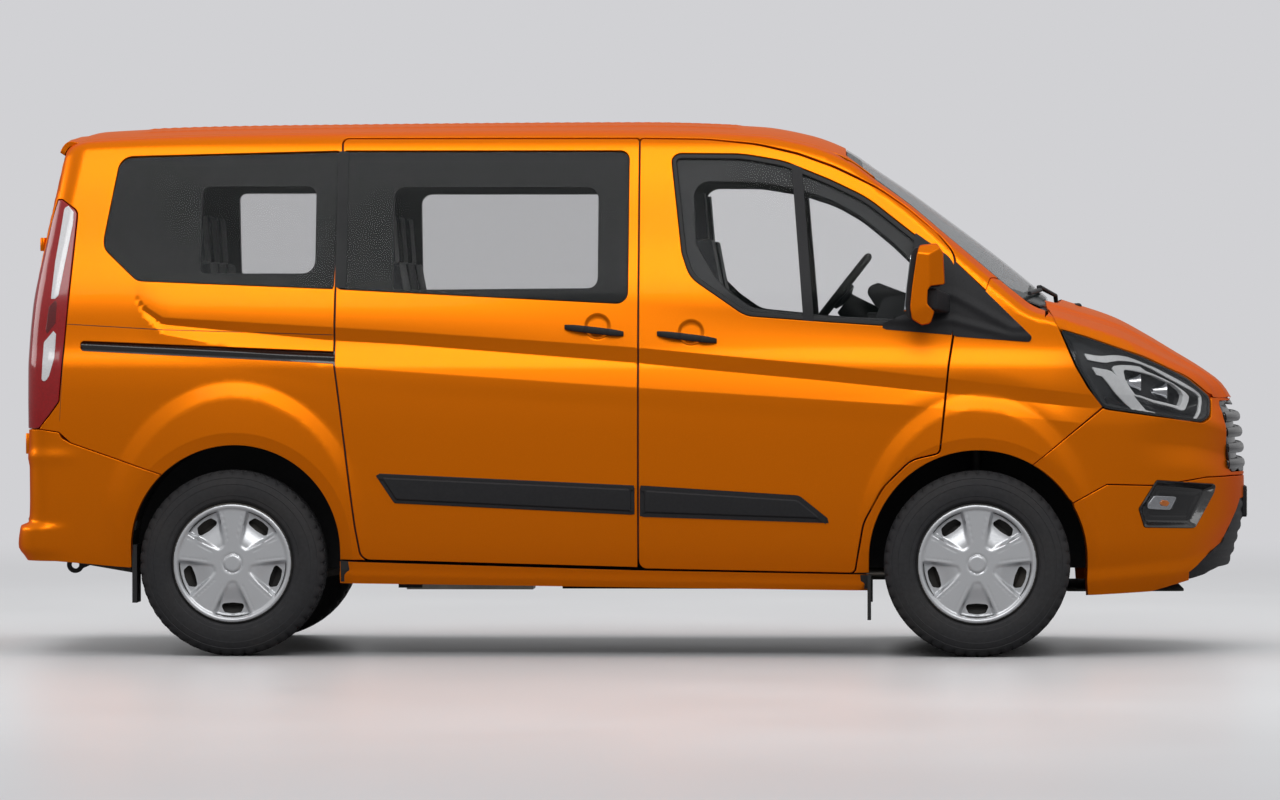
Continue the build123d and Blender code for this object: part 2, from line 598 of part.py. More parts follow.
parts["wheel_housings"] = Compound(
    children=[*pair(rear_housing - floor_pan).solids(), *pair(front_housing - floor_pan).solids()]
)

# ---- Wheels ----


def revolved(section, x, y_sign, wheel_y):
    """A solid of revolution about a wheel's axis. The section's columns are radius and y from its centre."""
    points = [Vector(0, y * y_sign, radius) for radius, y in section]
    face = Face(Wire([Edge.make_line(points[i - 1], points[i]) for i in range(len(points))]))
    return Pos(x, wheel_y, TYRE_RADIUS) * Solid.revolve(face, 360, Axis.Y)


HALF = TYRE_WIDTH / 2
TYRE = [
    (221, 92), (236, 92), (240, HALF - 8), (275, HALF), (305, HALF), (330, HALF - 6), (348, HALF - 18),
    (TYRE_RADIUS, HALF - 36), (TYRE_RADIUS, 36 - HALF), (348, 18 - HALF), (330, 6 - HALF), (305, -HALF),
    (275, -HALF), (240, 8 - HALF), (236, -92), (221, -92), (221, -78), (260, -94), (320, -92), (342, -60),
    (342, 60), (320, 92), (260, 94), (221, 78),
]
RIM = [
    (RIM_RADIUS, 92), (RIM_FLANGE_RADIUS, 93), (RIM_FLANGE_RADIUS, 99), (203, 99), (192, 74), (34, 80),
    (30, 86), (0, 86), (0, 16), (38, 16), (38, -63), (62, -63), (62, -53), (150, -53), (150, -31),
    (62, -31), (62, 38), (196, 46),
    (204, 40), (204, -99), (RIM_FLANGE_RADIUS, -99), (RIM_FLANGE_RADIUS, -93), (RIM_RADIUS, -92),
]
SPOKES = 5
# Columns: radius, across, corner radius.
POCKET = [(74, -16, 8), (74, 16, 8), (176, 62, 16), (186, 0, 0), (176, -62, 16)]
SLOT = [(146, -34, 12), (146, 34, 12), (172, 30, 12), (172, -30, 12)]


def wheel_cover_cuts(x, side):
    """The pockets between a wheel cover's spokes, each with a slot right through near its rim."""
    cuts = []
    for k in range(SPOKES):
        turn = math.radians(90 + 180 / SPOKES + 360 / SPOKES * k)
        for outline, low, high in ((POCKET, WHEEL_Y + 50, WHEEL_Y + 120), (SLOT, WHEEL_Y + 20, WHEEL_Y + 120)):
            cosine, sine = math.cos(turn), math.sin(turn)
            turned = [
                (x + r * cosine - a * sine, TYRE_RADIUS + r * sine + a * cosine, c) for r, a, c in outline
            ]
            cut = side_prism(turned, low, high)
            cuts.append(cut if side > 0 else mirrored(cut))
    return cuts


CORNERS = [
    ("front_left", FRONT_AXLE_X, 1), ("front_right", FRONT_AXLE_X, -1),
    ("rear_left", REAR_AXLE_X, 1), ("rear_right", REAR_AXLE_X, -1),
]
for corner, axle_x, side in CORNERS:
    parts["tyre_" + corner] = revolved(TYRE, axle_x, side, WHEEL_Y * side)
    wheel = revolved(RIM, axle_x, side, WHEEL_Y * side)
    for cut in wheel_cover_cuts(axle_x, side):
        wheel -= cut
    parts["wheel_" + corner] = wheel

# ---- Axles, knuckles and springs ----
spindle = rod((FRONT_AXLE_X, 690, TYRE_RADIUS), (FRONT_AXLE_X, WHEEL_Y + 10, TYRE_RADIUS), 30)
upright = block((FRONT_AXLE_X - 42, 700, 205), (FRONT_AXLE_X + 42, 772, 540))
steering_arm = block((FRONT_AXLE_X - 150, 700, 330), (FRONT_AXLE_X, 725, 370))
both_sides("knuckle", spindle + upright + steering_arm)

subframe = block((1180, -430, 205), (1520, 430, 262)) - block((1240, -340, 200), (1460, 340, 270))
lower_arm = block((1310, 420, 215), (1384, 676, 240))
strut = rod((FRONT_AXLE_X, 648, 262), (FRONT_AXLE_X, 606, 880), 24)
arm_end = block((1310, 620, 215), (1384, 676, 262))
subframe = subframe + lower_arm + mirrored(lower_arm) + strut + mirrored(strut) + arm_end + mirrored(arm_end)
mounts = [block((1190, y, 255), (1240, y + 60, 380)) for y in (340, -400)]
parts["front_subframe"] = subframe + mounts[0] + mounts[1]

beam = rod((REAR_AXLE_X, -700, TYRE_RADIUS), (REAR_AXLE_X, 700, TYRE_RADIUS), 42)
rear_spindles = rod((REAR_AXLE_X, -WHEEL_Y - 10, TYRE_RADIUS), (REAR_AXLE_X, WHEEL_Y + 10, TYRE_RADIUS), 30)
spring = side_prism(
    [(-2180, 372, 0), (-1760, 300, 200), (-1533, 288, 400), (-1300, 300, 200), (-900, 372, 0), (-900, 346, 0),
     (-1300, 274, 200), (-1533, 258, 400), (-1760, 274, 200), (-2180, 346, 0)],
    480, 550,
)
rear_axle = beam + rear_spindles + spring + mirrored(spring)
pads = [block((-1580, y, 268), (-1486, y + 70, 350)) for y in (480, -550)]
parts["rear_axle"] = rear_axle + pads[0] + pads[1]

# ---- Engine, tank and exhaust ----
parts["engine"] = block((1560, -300, 420), (2060, 300, 980))
parts["fuel_tank"] = block((-300, 60, 225), (520, 320, 372))
parts["exhaust"] = rod((1100, -200, 300), (-900, -200, 300), 28) + block((-900, -300, 235), (-400, -100, 365))

# ---- Inside: dashboard, steering wheel, seats ----
dash_outline = [(1000, 1060, 40), (950, 1300, 60), (985, 1392, 30), (1180, 1398, 60), (1470, 1372, 10),
                (1486, 1060, 10)]
binnacle = side_prism([(960, 1340, 30), (905, 1425, 30), (960, 1450, 20), (1120, 1390, 10)], 240, 560)
parts["dashboard"] = side_prism(dash_outline, -770, 770) + binnacle
WHEEL_AXIS_START = Vector(900, 400, 1333)
WHEEL_TILT = math.radians(38)
wheel_way = Vector(-math.cos(WHEEL_TILT), 0, math.sin(WHEEL_TILT))
steering_centre = WHEEL_AXIS_START + wheel_way * 120
steering_plane = Plane(steering_centre, x_dir=(0, 1, 0), z_dir=wheel_way)
steering_rim = steering_plane * Torus(185, 15)
steering_hub = steering_plane * Pos(0, 0, -20) * Cylinder(60, 44)
spokes = [steering_plane * Rot(0, 0, a) * Pos(95, 0, -12) * Box(180, 34, 16) for a in (0, 180, 270)]
steering_boss = steering_plane * Pos(0, 0, -75) * Cylinder(22, 80)
parts["steering_wheel"] = steering_rim + steering_hub + spokes[0] + spokes[1] + spokes[2] + steering_boss


def seat(x, y, width, floor_z=FLOOR_TOP):
    """One simple seat facing forwards: a plinth, a cushion, a back and a head restraint."""
    half = width / 2
    low = y - half
    high = y + half
    base = block((x - 180, low + 40, floor_z), (x + 200, high - 40, floor_z + 260))
    cushion = side_prism(
        [(x - 240, floor_z + 250, 20), (x - 250, floor_z + 400, 40), (x + 250, floor_z + 430, 60),
         (x + 260, floor_z + 270, 40)], low, high,
    )
    back = side_prism(
        [(x - 260, floor_z + 300, 30), (x - 140, floor_z + 340, 30), (x - 290, floor_z + 1020, 50),
         (x - 390, floor_z + 1010, 50)], low + 10, high - 10,
    )
    rest = side_prism(
        [(x - 372, floor_z + 950, 0), (x - 300, floor_z + 950, 0), (x - 318, floor_z + 1200, 30),
         (x - 410, floor_z + 1190, 30)], y - 130, y + 130,
    )
    return base + cushion + back + rest


FRONT_SEAT_X = 600.0
CAB_FLOOR = FLOOR_TOP + 90
FRONT_SEATS = [(FRONT_SEAT_X, -420, 520, CAB_FLOOR), (FRONT_SEAT_X, 420, 520, CAB_FLOOR)]
MIDDLE_SEAT_X = -620.0
LAST_SEAT_X = -1376.0
REAR_SEATS = [
    *[(MIDDLE_SEAT_X, y, 440) for y in (-500, 0, 500)],
    *[(LAST_SEAT_X, y, 360) for y in (-380, 0, 380)],
]
parts["front_seats"] = Compound(children=[s for row in FRONT_SEATS for s in seat(*row).solids()])
parts["rear_seats"] = Compound(children=[s for row in REAR_SEATS for s in seat(*row).solids()])

# ---- Mirrors and mud flaps ----
mirror_head = side_prism(
    [(1080, 1590, 20), (1145, 1602, 25), (1205, 1588, 25), (1216, 1480, 30), (1214, 1340, 30),
     (1190, 1282, 20),
     (1150, 1270, 20), (1084, 1300, 20)],
    1010, 1160,
)
mirror_head -= top_prism([(1110, 1165, 0), (1225, 1165, 0), (1225, 1085, 0)], 1200, 1700)
mirror_head -= top_prism([(1130, 1000, 0), (1225, 1000, 0), (1225, 1050, 0)], 1460, 1700)
mirror_arm = side_prism(
    [(1160, 1380, 10), (1200, 1440, 10), (1240, 1410, 10), (1236, 1330, 10), (1180, 1340, 10)], 880, 1040
)
both_sides("mirror", (mirror_head + mirror_arm) - OUTER)
flap = block((-1924, 770, 205), (-1906, 925, 430))
front_flap = block((924.0, 850, 142), (938.0, 925, 316))
parts["mud_flaps"] = Compound(children=[*pair(flap).solids(), *pair(front_flap).solids()])

for name, shape in parts.items():
    for solid in shape.solids():
        box = solid.bounding_box()
        print(name, round(solid.volume / 1e6, 3), solid.is_valid,
              [round(v) for v in (box.min.X, box.max.X, box.min.Y, box.max.Y, box.min.Z, box.max.Z)])

os.makedirs("parts", exist_ok=True)
for name, shape in parts.items():
    export_step(shape, os.path.join("parts", name + ".step"))
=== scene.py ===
"""A compact eight-seat minibus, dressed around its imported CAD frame. Surfaces are worked in millimetres."""
import math

import bmesh
import bpy
import numpy as np
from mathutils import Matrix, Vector
from mathutils.geometry import delaunay_2d_cdt


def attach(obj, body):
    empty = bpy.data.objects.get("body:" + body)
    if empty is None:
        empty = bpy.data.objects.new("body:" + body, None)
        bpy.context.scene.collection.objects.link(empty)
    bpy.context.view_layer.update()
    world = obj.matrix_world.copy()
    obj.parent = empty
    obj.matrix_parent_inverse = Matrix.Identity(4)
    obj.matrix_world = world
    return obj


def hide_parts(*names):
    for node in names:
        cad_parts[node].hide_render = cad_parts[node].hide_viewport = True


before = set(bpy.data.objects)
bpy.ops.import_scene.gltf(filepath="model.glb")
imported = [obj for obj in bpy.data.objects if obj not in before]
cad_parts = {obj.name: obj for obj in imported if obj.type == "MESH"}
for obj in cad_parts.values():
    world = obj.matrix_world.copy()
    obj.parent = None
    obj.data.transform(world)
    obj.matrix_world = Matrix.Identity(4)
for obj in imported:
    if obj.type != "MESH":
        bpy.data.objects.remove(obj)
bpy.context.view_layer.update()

MM = 0.001
SIDES = (("left", 1), ("right", -1))

# ---- Driving dimensions, in millimetres ----
FRONT_AXLE_X = 1347.0
REAR_AXLE_X = -1533.0
WHEEL_Z = 360.0
WHEEL_Y = 853.0
NOSE_START = 1450.0
REAR_CORNER = 85.0
REAR_BOW = 12.0
ROOF_EDGE_Y = 690.0
FRONT_ARCH = (1351.0, 378.0, 420.0)
REAR_ARCH = (-1521.0, 412.0, 404.0)
SILL_Z = 372.0

# Plan sections, from the sill up. Columns: height, half width, rear face x, nose tip x.
BODY_ROWS = np.array([
    (236, 890, -2335, 2290), (335, 934, -2347, 2352), (430, 960, -2354, 2384), (560, 976, -2338, 2412),
    (640, 981, -2337, 2412), (920, 987, -2339, 2392), (1010, 986, -2340, 2350), (1110, 981, -2340, 2320),
    (1200, 963, -2337, 2300), (1350, 946, -2325, 2290), (1600, 884, -2286, 2280), (1950, 796, -2218, 2260),
    (1992, 779, -2211, 2250), (2022, 748, -2206, 2240), (2045, 700, -2204, 2230), (2100, 560, -2200, 2220),
], float)
DROP_Y = 800.0
# Top sections from the rear. Columns: x, height on the centreline, drop at DROP_Y.
CAB_ROWS = np.array([
    (-2420, 1880, 62), (-2225, 2010, 62), (-2100, 2050, 62), (-1150, 2076, 62), (20, 2084, 62),
    (495, 2068, 62), (693, 2034, 63), (838, 1980, 64), (967, 1894, 68), (1082, 1817, 74), (1256, 1690, 90),
    (1430, 1560, 97), (1631, 1397, 98), (1800, 1250, 98),
], float)
NOSE_ROWS = np.array([
    (1230, 1445, 50), (1500, 1412, 52), (1640, 1388, 56), (1745, 1357, 60), (1895, 1306, 64),
    (2011, 1245, 66), (2128, 1175, 66), (2244, 1104, 62), (2330, 1040, 55), (2440, 930, 50),
], float)

# Side-view outlines, as (x, z, corner radius)
FRONT_DOOR = [
    (43, 341, 30), (43, 2004, 12), (300, 2000, 900), (492, 1980, 600), (652, 1942, 300), (790, 1892, 500),
    (967, 1807, 500), (1081, 1728, 300), (1194, 1632, 200), (1258, 1556, 90), (1251, 1244, 100),
    (1233, 1131, 200), (1199, 790, 20), (1090, 765, 120), (981, 658, 200), (905, 520, 150), (872, 325, 20),
]
SLIDER = [
    (35, 346, 0), (36, 2004, 12), (-1112, 2004, 20), (-1111, 1957, 0), (-1130, 1400, 60), (-1133, 1135, 200),
    (-1114, 992, 200), (-1052, 500, 200), (-1030, 375, 40),
]
FRONT_WINDOW = [
    (186, 1948, 40), (440, 1946, 500), (599, 1918, 300), (778, 1845, 500), (922, 1776, 500), (1104, 1632, 60),
    (1225, 1530, 20), (1228, 1262, 20), (780, 1292, 300), (452, 1316, 120), (236, 1466, 120), (205, 1560, 80),
    (163, 1925, 30),
]
SLIDER_WINDOW = [(0, 1958, 35), (-2, 1362, 45), (-1128, 1420, 6), (-1108, 1958, 6)]
QUARTER_WINDOW = [
    (-1121, 1958, 6), (-1140, 1421, 6), (-1905, 1452, 50), (-2040, 1580, 60), (-2036, 1625, 60),
    (-1980, 1936, 60),
]
BONNET_SEAM = [
    (1612, 1374, 0), (1660, 1275, 20), (1762, 1245, 200), (1991, 1166, 300), (2164, 1086, 300),
    (2262, 1010, 60), (2520, 985, 0),
]
HEADLAMP = [
    (1666, 1267, 8), (1762, 1238, 200), (1991, 1159, 300), (2164, 1080, 300), (2260, 1003, 45),
    (2256, 925, 30), (2222, 903, 30), (1958, 943, 200), (1826, 962, 60), (1732, 1119, 300),
]
# Rear-view outlines, as (y, z, corner radius)
REAR_DOOR = [
    (4, 530, 20), (4, 1935, 12), (690, 1935, 50), (742, 1780, 300), (770, 1480, 600), (797, 1050, 300),
    (797, 530, 30),
]
REAR_WINDOW = [(48, 1290, 40), (48, 1860, 50), (650, 1860, 60), (712, 1300, 50)]


# ---- Smooth curves through the tables ----
class Curve:
    """A monotone cubic through a table's points, straight beyond its ends."""

    def __init__(self, xs, ys):
        self.xs = np.asarray(xs, float)
        self.ys = np.asarray(ys, float)
        run = np.diff(self.xs)
        slope = np.diff(self.ys) / run
        self.run = run
        tangent = np.empty(len(self.xs))
        tangent[0], tangent[-1] = slope[0], slope[-1]
        for i in range(1, len(slope)):
            before, after = slope[i - 1], slope[i]
            if before * after <= 0:
                tangent[i] = 0.0
                continue
            first, second = 2 * run[i] + run[i - 1], run[i] + 2 * run[i - 1]
            tangent[i] = (first + second) / (first / before + second / after)
        self.tangent = tangent

    def __call__(self, x):
        x = np.asarray(x, float)
        i = np.clip(np.searchsorted(self.xs, x) - 1, 0, len(self.run) - 1)
        t = (x - self.xs[i]) / self.run[i]
        inside = np.clip(t, 0, 1)
        h = self.run[i]
        a, b = self.ys[i], self.ys[i + 1]
        cubic = (
            (2 * inside**3 - 3 * inside**2 + 1) * a + (inside**3 - 2 * inside**2 + inside) * h
            * self.tangent[i]
            + (3 * inside**2 - 2 * inside**3) * b + (inside**3 - inside**2) * h * self.tangent[i + 1]
        )
        beyond = np.where(t < 0, t * h * self.tangent[i],
                          np.where(t > 1, (t - 1) * h * self.tangent[i + 1], 0))
        return cubic + beyond


half_width = Curve(BODY_ROWS[:, 0], BODY_ROWS[:, 1])
rear_face = Curve(BODY_ROWS[:, 0], BODY_ROWS[:, 2])
nose_tip = Curve(BODY_ROWS[:, 0], BODY_ROWS[:, 3])
cab_height, cab_drop = Curve(CAB_ROWS[:, 0], CAB_ROWS[:, 1]), Curve(CAB_ROWS[:, 0], CAB_ROWS[:, 2])
nose_height, nose_drop = Curve(NOSE_ROWS[:, 0], NOSE_ROWS[:, 1]), Curve(NOSE_ROWS[:, 0], NOSE_ROWS[:, 2])


def along(x, points):
    """Straight runs through (x, value) points, level beyond the ends."""
    return np.interp(x, [p[0] for p in points], [p[1] for p in points])


def smooth_step(t):
    t = np.clip(t, 0, 1)
    return t * t * (3 - 2 * t)


# ---- Relief pressed into the sides: the shoulder crease, the flares and the arch lips ----
CREASE_TOP = [(-1918, 1421), (-1874, 1356), (-1800, 1309), (-1134, 1271), (-880, 1256), (39, 1193),
              (780, 1125), (1782, 1012)]
CREASE_LOW = [(-1918, 1404), (-1874, 1336), (-1800, 1284), (-1134, 1222), (-880, 1208), (39, 1135),
              (780, 1066), (1782, 962)]
CREASE_END = [(-1918, 1388), (-1874, 1308), (-1800, 1246), (-1134, 1120), (40, 1039), (1069, 973),
              (1782, 900)]
CREASE_SHARE = [(-1912, 0), (-1785, 1), (1640, 1), (1800, 0.3)]
# How far the crease's ridge, fold and foot stand out, and how far it fades above and below
CREASE_RIDGE, CREASE_FOLD, CREASE_FOOT = 8.0, -11.0, 2.0
FADE_ABOVE, FADE_BELOW = 170.0, 90.0
# Flares over the wheels. Columns: centre x, centre z, reach in x, reach in z, height, arch radius.
FLARES = [(-1522, 412, 528, 652, 15, 404), (1351, 378, 480, 640, 13, 420)]
# Finger recesses behind the door handles, as (x, z)
DISHES = [(243, 1252), (-118, 1275)]
DISH_RADIUS = 50.0
DISH_DEPTH = 10.0
LIP_WIDTH = 48.0
LIP_DEPTH = 17.0
FLARE_LEAN = 9.0


def relief(x, z):
    """How far the side stands out from its plain surface."""
    top, low, end = along(x, CREASE_TOP), along(x, CREASE_LOW), along(x, CREASE_END)
    share = along(x, CREASE_SHARE)
    above = smooth_step(1 - (z - top) / FADE_ABOVE) * CREASE_RIDGE
    undercut = CREASE_RIDGE + (CREASE_FOLD - CREASE_RIDGE) * (top - z) / (top - low)
    lit = CREASE_FOLD + (CREASE_FOOT - CREASE_FOLD) * (low - z) / (low - end)
    below = CREASE_FOOT * smooth_step(1 - (end - z) / FADE_BELOW)
    crease = np.where(z > top, above, np.where(z > low, undercut, np.where(z > end, lit, below)))
    out = crease * share
    for cx, cz, a, b, height, radius in FLARES:
        dx, dz = x - cx, z - cz
        reach = np.sqrt((dx / a) ** 2 + (np.maximum(dz, 0) / b) ** 2)
        rise = height * np.clip((1.0 - reach) / 0.1, 0, 1) + FLARE_LEAN * np.clip((0.9 - reach) / 0.3, 0, 1)
        distance = np.sqrt(dx**2 + np.maximum(dz, 0) ** 2)
        lip = np.clip((radius + LIP_WIDTH - distance) / LIP_WIDTH, 0, 1.2)
        fade = smooth_step((dz + 60) / 240.0)
        if cx < 0:
            fade = fade * smooth_step((-1010 - x) / 120.0)
        near = smooth_step((1.15 - reach) / 0.2)
        out = out * (1 - near * 0.75) + rise * fade - lip * LIP_DEPTH
    for cx, cz in DISHES:
        share = ((x - cx) ** 2 + (z - cz) ** 2) / DISH_RADIUS**2
        out = out - DISH_DEPTH * np.clip((1 - share) * 2.2, 0, 1)
    return out


# The plan round the nose is a superellipse: its powers across and forwards, and those less one
ACROSS_POWER, FORWARD_POWER = 2.8, 2.5
ACROSS_SLOPE, FORWARD_SLOPE = 1.8, 1.5


def side_share(x, z):
    """The half width at a place along the nose, as a share of the full half width."""
    t = np.clip((x - NOSE_START) / (nose_tip(z) - NOSE_START), 0, 0.9999)
    return (1 - t**FORWARD_POWER) ** (1 / ACROSS_POWER)


def round_join(a, b, radius):
    """Two surfaces' distances joined over a round edge."""
    u, v = np.maximum(a + radius, 0), np.maximum(b + radius, 0)
    return np.minimum(-radius, np.maximum(a, b)) + np.sqrt(u * u + v * v)


def side_gap(x, y, z):
    half = half_width(z)
    length = nose_tip(z) - NOSE_START
    t = np.maximum((x - NOSE_START) / length, 0)
    share = np.abs(y) / half
    level = share**ACROSS_POWER + t**FORWARD_POWER - 1
    slope_across = ACROSS_POWER * share**ACROSS_SLOPE / half
    slope = np.sqrt(slope_across**2 + (FORWARD_POWER * t**FORWARD_SLOPE / length) ** 2)
    return level / np.maximum(slope, 0.4 / half) - relief(x, z)


def top_gap(x, y, z, height, drop):
    level = height(x) - drop(x) * (y / DROP_Y) ** 2
    slope = (height(x + 4) - height(x - 4)) / 8
    return (z - level) / np.sqrt(1 + slope**2)


TOPS = {"cab": (cab_height, cab_drop, 26.0), "nose": (nose_height, nose_drop, 36.0)}
EITHER = "either"  # the higher of the cab's top and the nose's
TOP_HEIGHT = {
    "cab": cab_height, "nose": nose_height, EITHER: lambda x: np.maximum(cab_height(x), nose_height(x)),
}


def gap(x, y, z, top):
    """Signed distance from the body's outer surface. top names the surface above, or is None."""
    half = half_width(z)
    rear = rear_face(z) + REAR_BOW * np.minimum(np.abs(y) / (half - REAR_CORNER), 1.2) ** 2 - x
    out = round_join(side_gap(x, y, z), rear, REAR_CORNER)
    if top == EITHER:
        cab = top_gap(x, y, z, cab_height, cab_drop)
        nose = top_gap(x, y, z, nose_height, nose_drop)
        blend = np.maximum(24.0 - np.abs(cab - nose), 0) / 24.0
        out = round_join(out, np.minimum(cab, nose) - blend * blend * 6.0, 30.0)
    elif top is not None:
        height, drop, radius = TOPS[top]
        out = round_join(out, top_gap(x, y, z, height, drop), radius)
    return out


class Domain:
    """Maps a flat outline (u, v) onto the body's surface along a family of rays."""

    def __init__(self, rays, find, top, reach=700.0):
        self.rays, self.find, self.top, self.reach = rays, find, top, reach

    def place(self, uv):
        """Points on the surface, their normals and the rays' ways."""
        uv = np.asarray(uv, float).reshape(-1, 2)
        start, way = self.rays(uv[:, 0], uv[:, 1])
        low = np.zeros(len(uv))
        high = np.full(len(uv), self.reach)
        for _ in range(24):
            middle = (low + high) / 2
            p = start + way * middle[:, None]
            inside = gap(p[:, 0], p[:, 1], p[:, 2], self.top) < 0
            low = np.where(inside, middle, low)
            high = np.where(inside, high, middle)
        p = start + way * low[:, None]
        normal = surface_normal(p, self.top)
        return p, normal, way


def surface_normal(p, top):
    step = 2.0
    n = np.empty_like(p)
    for axis in range(3):
        ahead, behind = p.copy(), p.copy()
        ahead[:, axis] += step
        behind[:, axis] -= step
        n[:, axis] = gap(*ahead.T, top) - gap(*behind.T, top)
    return n / np.linalg.norm(n, axis=1)[:, None]


# Side domain: u is x, turning round the rear corner; v is z, turning over the top edge.
REAR_TURN_X = -2240.0
TURN_SPAN = 130.0
TOP_TURN = 190.0


def side_origin(x, z, height):
    turn_z = height(x) - TOP_TURN
    start_z = np.minimum(z, turn_z)
    start_y = half_width(start_z) * side_share(x, start_z) - 150
    return start_y, start_z, turn_z


def side_domain(top):
    height = TOP_HEIGHT[top]

    def rays(u, v):
        x = np.maximum(u, REAR_TURN_X)
        y, z, turn_z = side_origin(x, v, height)
        phi = np.maximum(REAR_TURN_X - u, 0) / TURN_SPAN
        psi = np.maximum(v - turn_z, 0) / TURN_SPAN
        start = np.stack([x, y, z], 1)
        way = np.stack([-np.sin(phi) * np.cos(psi), np.cos(phi) * np.cos(psi), np.sin(psi)], 1)
        return start, way

    def find(p):
        p = np.asarray(p, float)
        x = np.maximum(p[:, 0], REAR_TURN_X)
        y, z, turn_z = side_origin(x, p[:, 2], height)
        d = p - np.stack([x, y, z], 1)
        phi = np.where(p[:, 0] < REAR_TURN_X, np.arctan2(-d[:, 0], d[:, 1]), 0)
        psi = np.where(p[:, 2] > turn_z, np.arctan2(d[:, 2], np.hypot(d[:, 0], d[:, 1])), 0)
        u = np.where(p[:, 0] < REAR_TURN_X, REAR_TURN_X - phi * TURN_SPAN, p[:, 0])
        v = np.where(p[:, 2] > turn_z, turn_z + psi * TURN_SPAN, p[:, 2])
        return np.stack([u, v], 1)

    return Domain(rays, find, top)


# Nose domain: u is an angle round the nose, from the left side forwards to the right; v is z.
NOSE_SPAN = 900.0


def nose_rays(u, v):
    phi = u / NOSE_SPAN
    start = np.stack([np.full_like(u, NOSE_START), np.zeros_like(u), v], 1)
    way = np.stack([np.sin(phi), np.cos(phi), np.zeros_like(u)], 1)
    return start, way


def nose_find(p):
    p = np.asarray(p, float)
    return np.stack([np.arctan2(p[:, 0] - NOSE_START, p[:, 1]) * NOSE_SPAN, p[:, 2]], 1)


SIDE = side_domain("cab")
WING_SIDE = side_domain(EITHER)
NOSE = Domain(nose_rays, nose_find, "nose", 1300.0)
NOSE_MIDDLE = NOSE_SPAN * math.pi / 2
ROOF_TURN_X = -2120.0


def roof_rays(u, v):
    x = np.maximum(u, ROOF_TURN_X)
    phi = np.maximum(ROOF_TURN_X - u, 0) / TURN_SPAN
    start = np.stack([x, v, cab_height(x) - 150], 1)
    way = np.stack([-np.sin(phi), np.zeros_like(u), np.cos(phi)], 1)
    return start, way


def roof_find(p):
    p = np.asarray(p, float)
    x = np.maximum(p[:, 0], ROOF_TURN_X)
    phi = np.where(p[:, 0] < ROOF_TURN_X, np.arctan2(x - p[:, 0], p[:, 2] - (cab_height(x) - 150)), 0)
    return np.stack([np.where(p[:, 0] < ROOF_TURN_X, ROOF_TURN_X - phi * TURN_SPAN, p[:, 0]), p[:, 1]], 1)


ROOF = Domain(roof_rays, roof_find, "cab", 400.0)
BONNET_TURN_X = 2120.0


def bonnet_origin(x):
    z = nose_height(x) - 330
    return half_width(z + 200) * side_share(x, z + 200) - 190, z


def bonnet_rays(u, v):
    x = np.minimum(u, BONNET_TURN_X)
    turn_y, z = bonnet_origin(x)
    phi = np.maximum(u - BONNET_TURN_X, 0) / TURN_SPAN
    psi = np.sign(v) * np.maximum(np.abs(v) - turn_y, 0) / TURN_SPAN
    start = np.stack([x, np.clip(v, -turn_y, turn_y), z], 1)
    way = np.stack([np.sin(phi) * np.cos(psi), np.sin(psi), np.cos(phi) * np.cos(psi)], 1)
    return start, way


def bonnet_find(p):
    p = np.asarray(p, float)
    x = np.minimum(p[:, 0], BONNET_TURN_X)
    turn_y, z = bonnet_origin(x)
    dx, dz = p[:, 0] - x, p[:, 2] - z
    dy = p[:, 1] - np.clip(p[:, 1], -turn_y, turn_y)
    phi = np.where(p[:, 0] > BONNET_TURN_X, np.arctan2(dx, dz), 0)
    psi = np.arctan2(dy, np.hypot(dx, dz))
    u = np.where(p[:, 0] > BONNET_TURN_X, BONNET_TURN_X + phi * TURN_SPAN, p[:, 0])
    v = np.where(np.abs(p[:, 1]) > turn_y, np.sign(p[:, 1]) * turn_y + psi * TURN_SPAN, p[:, 1])
    return np.stack([u, v], 1)


BONNET = Domain(bonnet_rays, bonnet_find, "nose", 500.0)


def rear_rays(u, v):
    return np.stack([np.full_like(u, -1900.0), u, v], 1), np.stack([-np.ones_like(u), 0 * u, 0 * u], 1)


REAR = Domain(rear_rays, lambda p: np.asarray(p, float)[:, 1:3], None, 600.0)


# ---- Flat outlines ----
SLIVER_AREA = 30.0  # mm2, less than which a loop is dropped


def within_turn(angle):
    """The same angle between minus and plus half a turn."""
    return (angle + math.pi) % (2 * math.pi) - math.pi


def rounded(corners, step=9.0):
    """An outline's points from its corners (a, b, radius), with arcs and long runs divided."""
    points = []
    count = len(corners)
    for i, (a, b, radius) in enumerate(corners):
        before, after = corners[i - 1], corners[(i + 1) % count]
        to_before = math.atan2(before[1] - b, before[0] - a)
        to_after = math.atan2(after[1] - b, after[0] - a)
        turn = within_turn(to_after - to_before)
        inside = abs(turn)
        if radius < 0.5 or abs(inside - math.pi) < 0.01:
            points.append((a, b))
            continue
        reach = radius / math.tan(inside / 2)
        middle = to_before + turn / 2
        centre = (a + math.cos(middle) * radius / math.sin(inside / 2),
                  b + math.sin(middle) * radius / math.sin(inside / 2))
        start = (a + reach * math.cos(to_before), b + reach * math.sin(to_before))
        end = (a + reach * math.cos(to_after), b + reach * math.sin(to_after))
        first = math.atan2(start[1] - centre[1], start[0] - centre[0])
        sweep = within_turn(math.atan2(end[1] - centre[1], end[0] - centre[0]) - first)
        parts = max(2, int(abs(sweep) / math.radians(11)) + 1, int(abs(sweep) * radius / (2.2 * step)) + 1)
        for k in range(parts + 1):
            angle = first + sweep * k / parts
            points.append((centre[0] + radius * math.cos(angle), centre[1] + radius * math.sin(angle)))
    return divided(points, step)


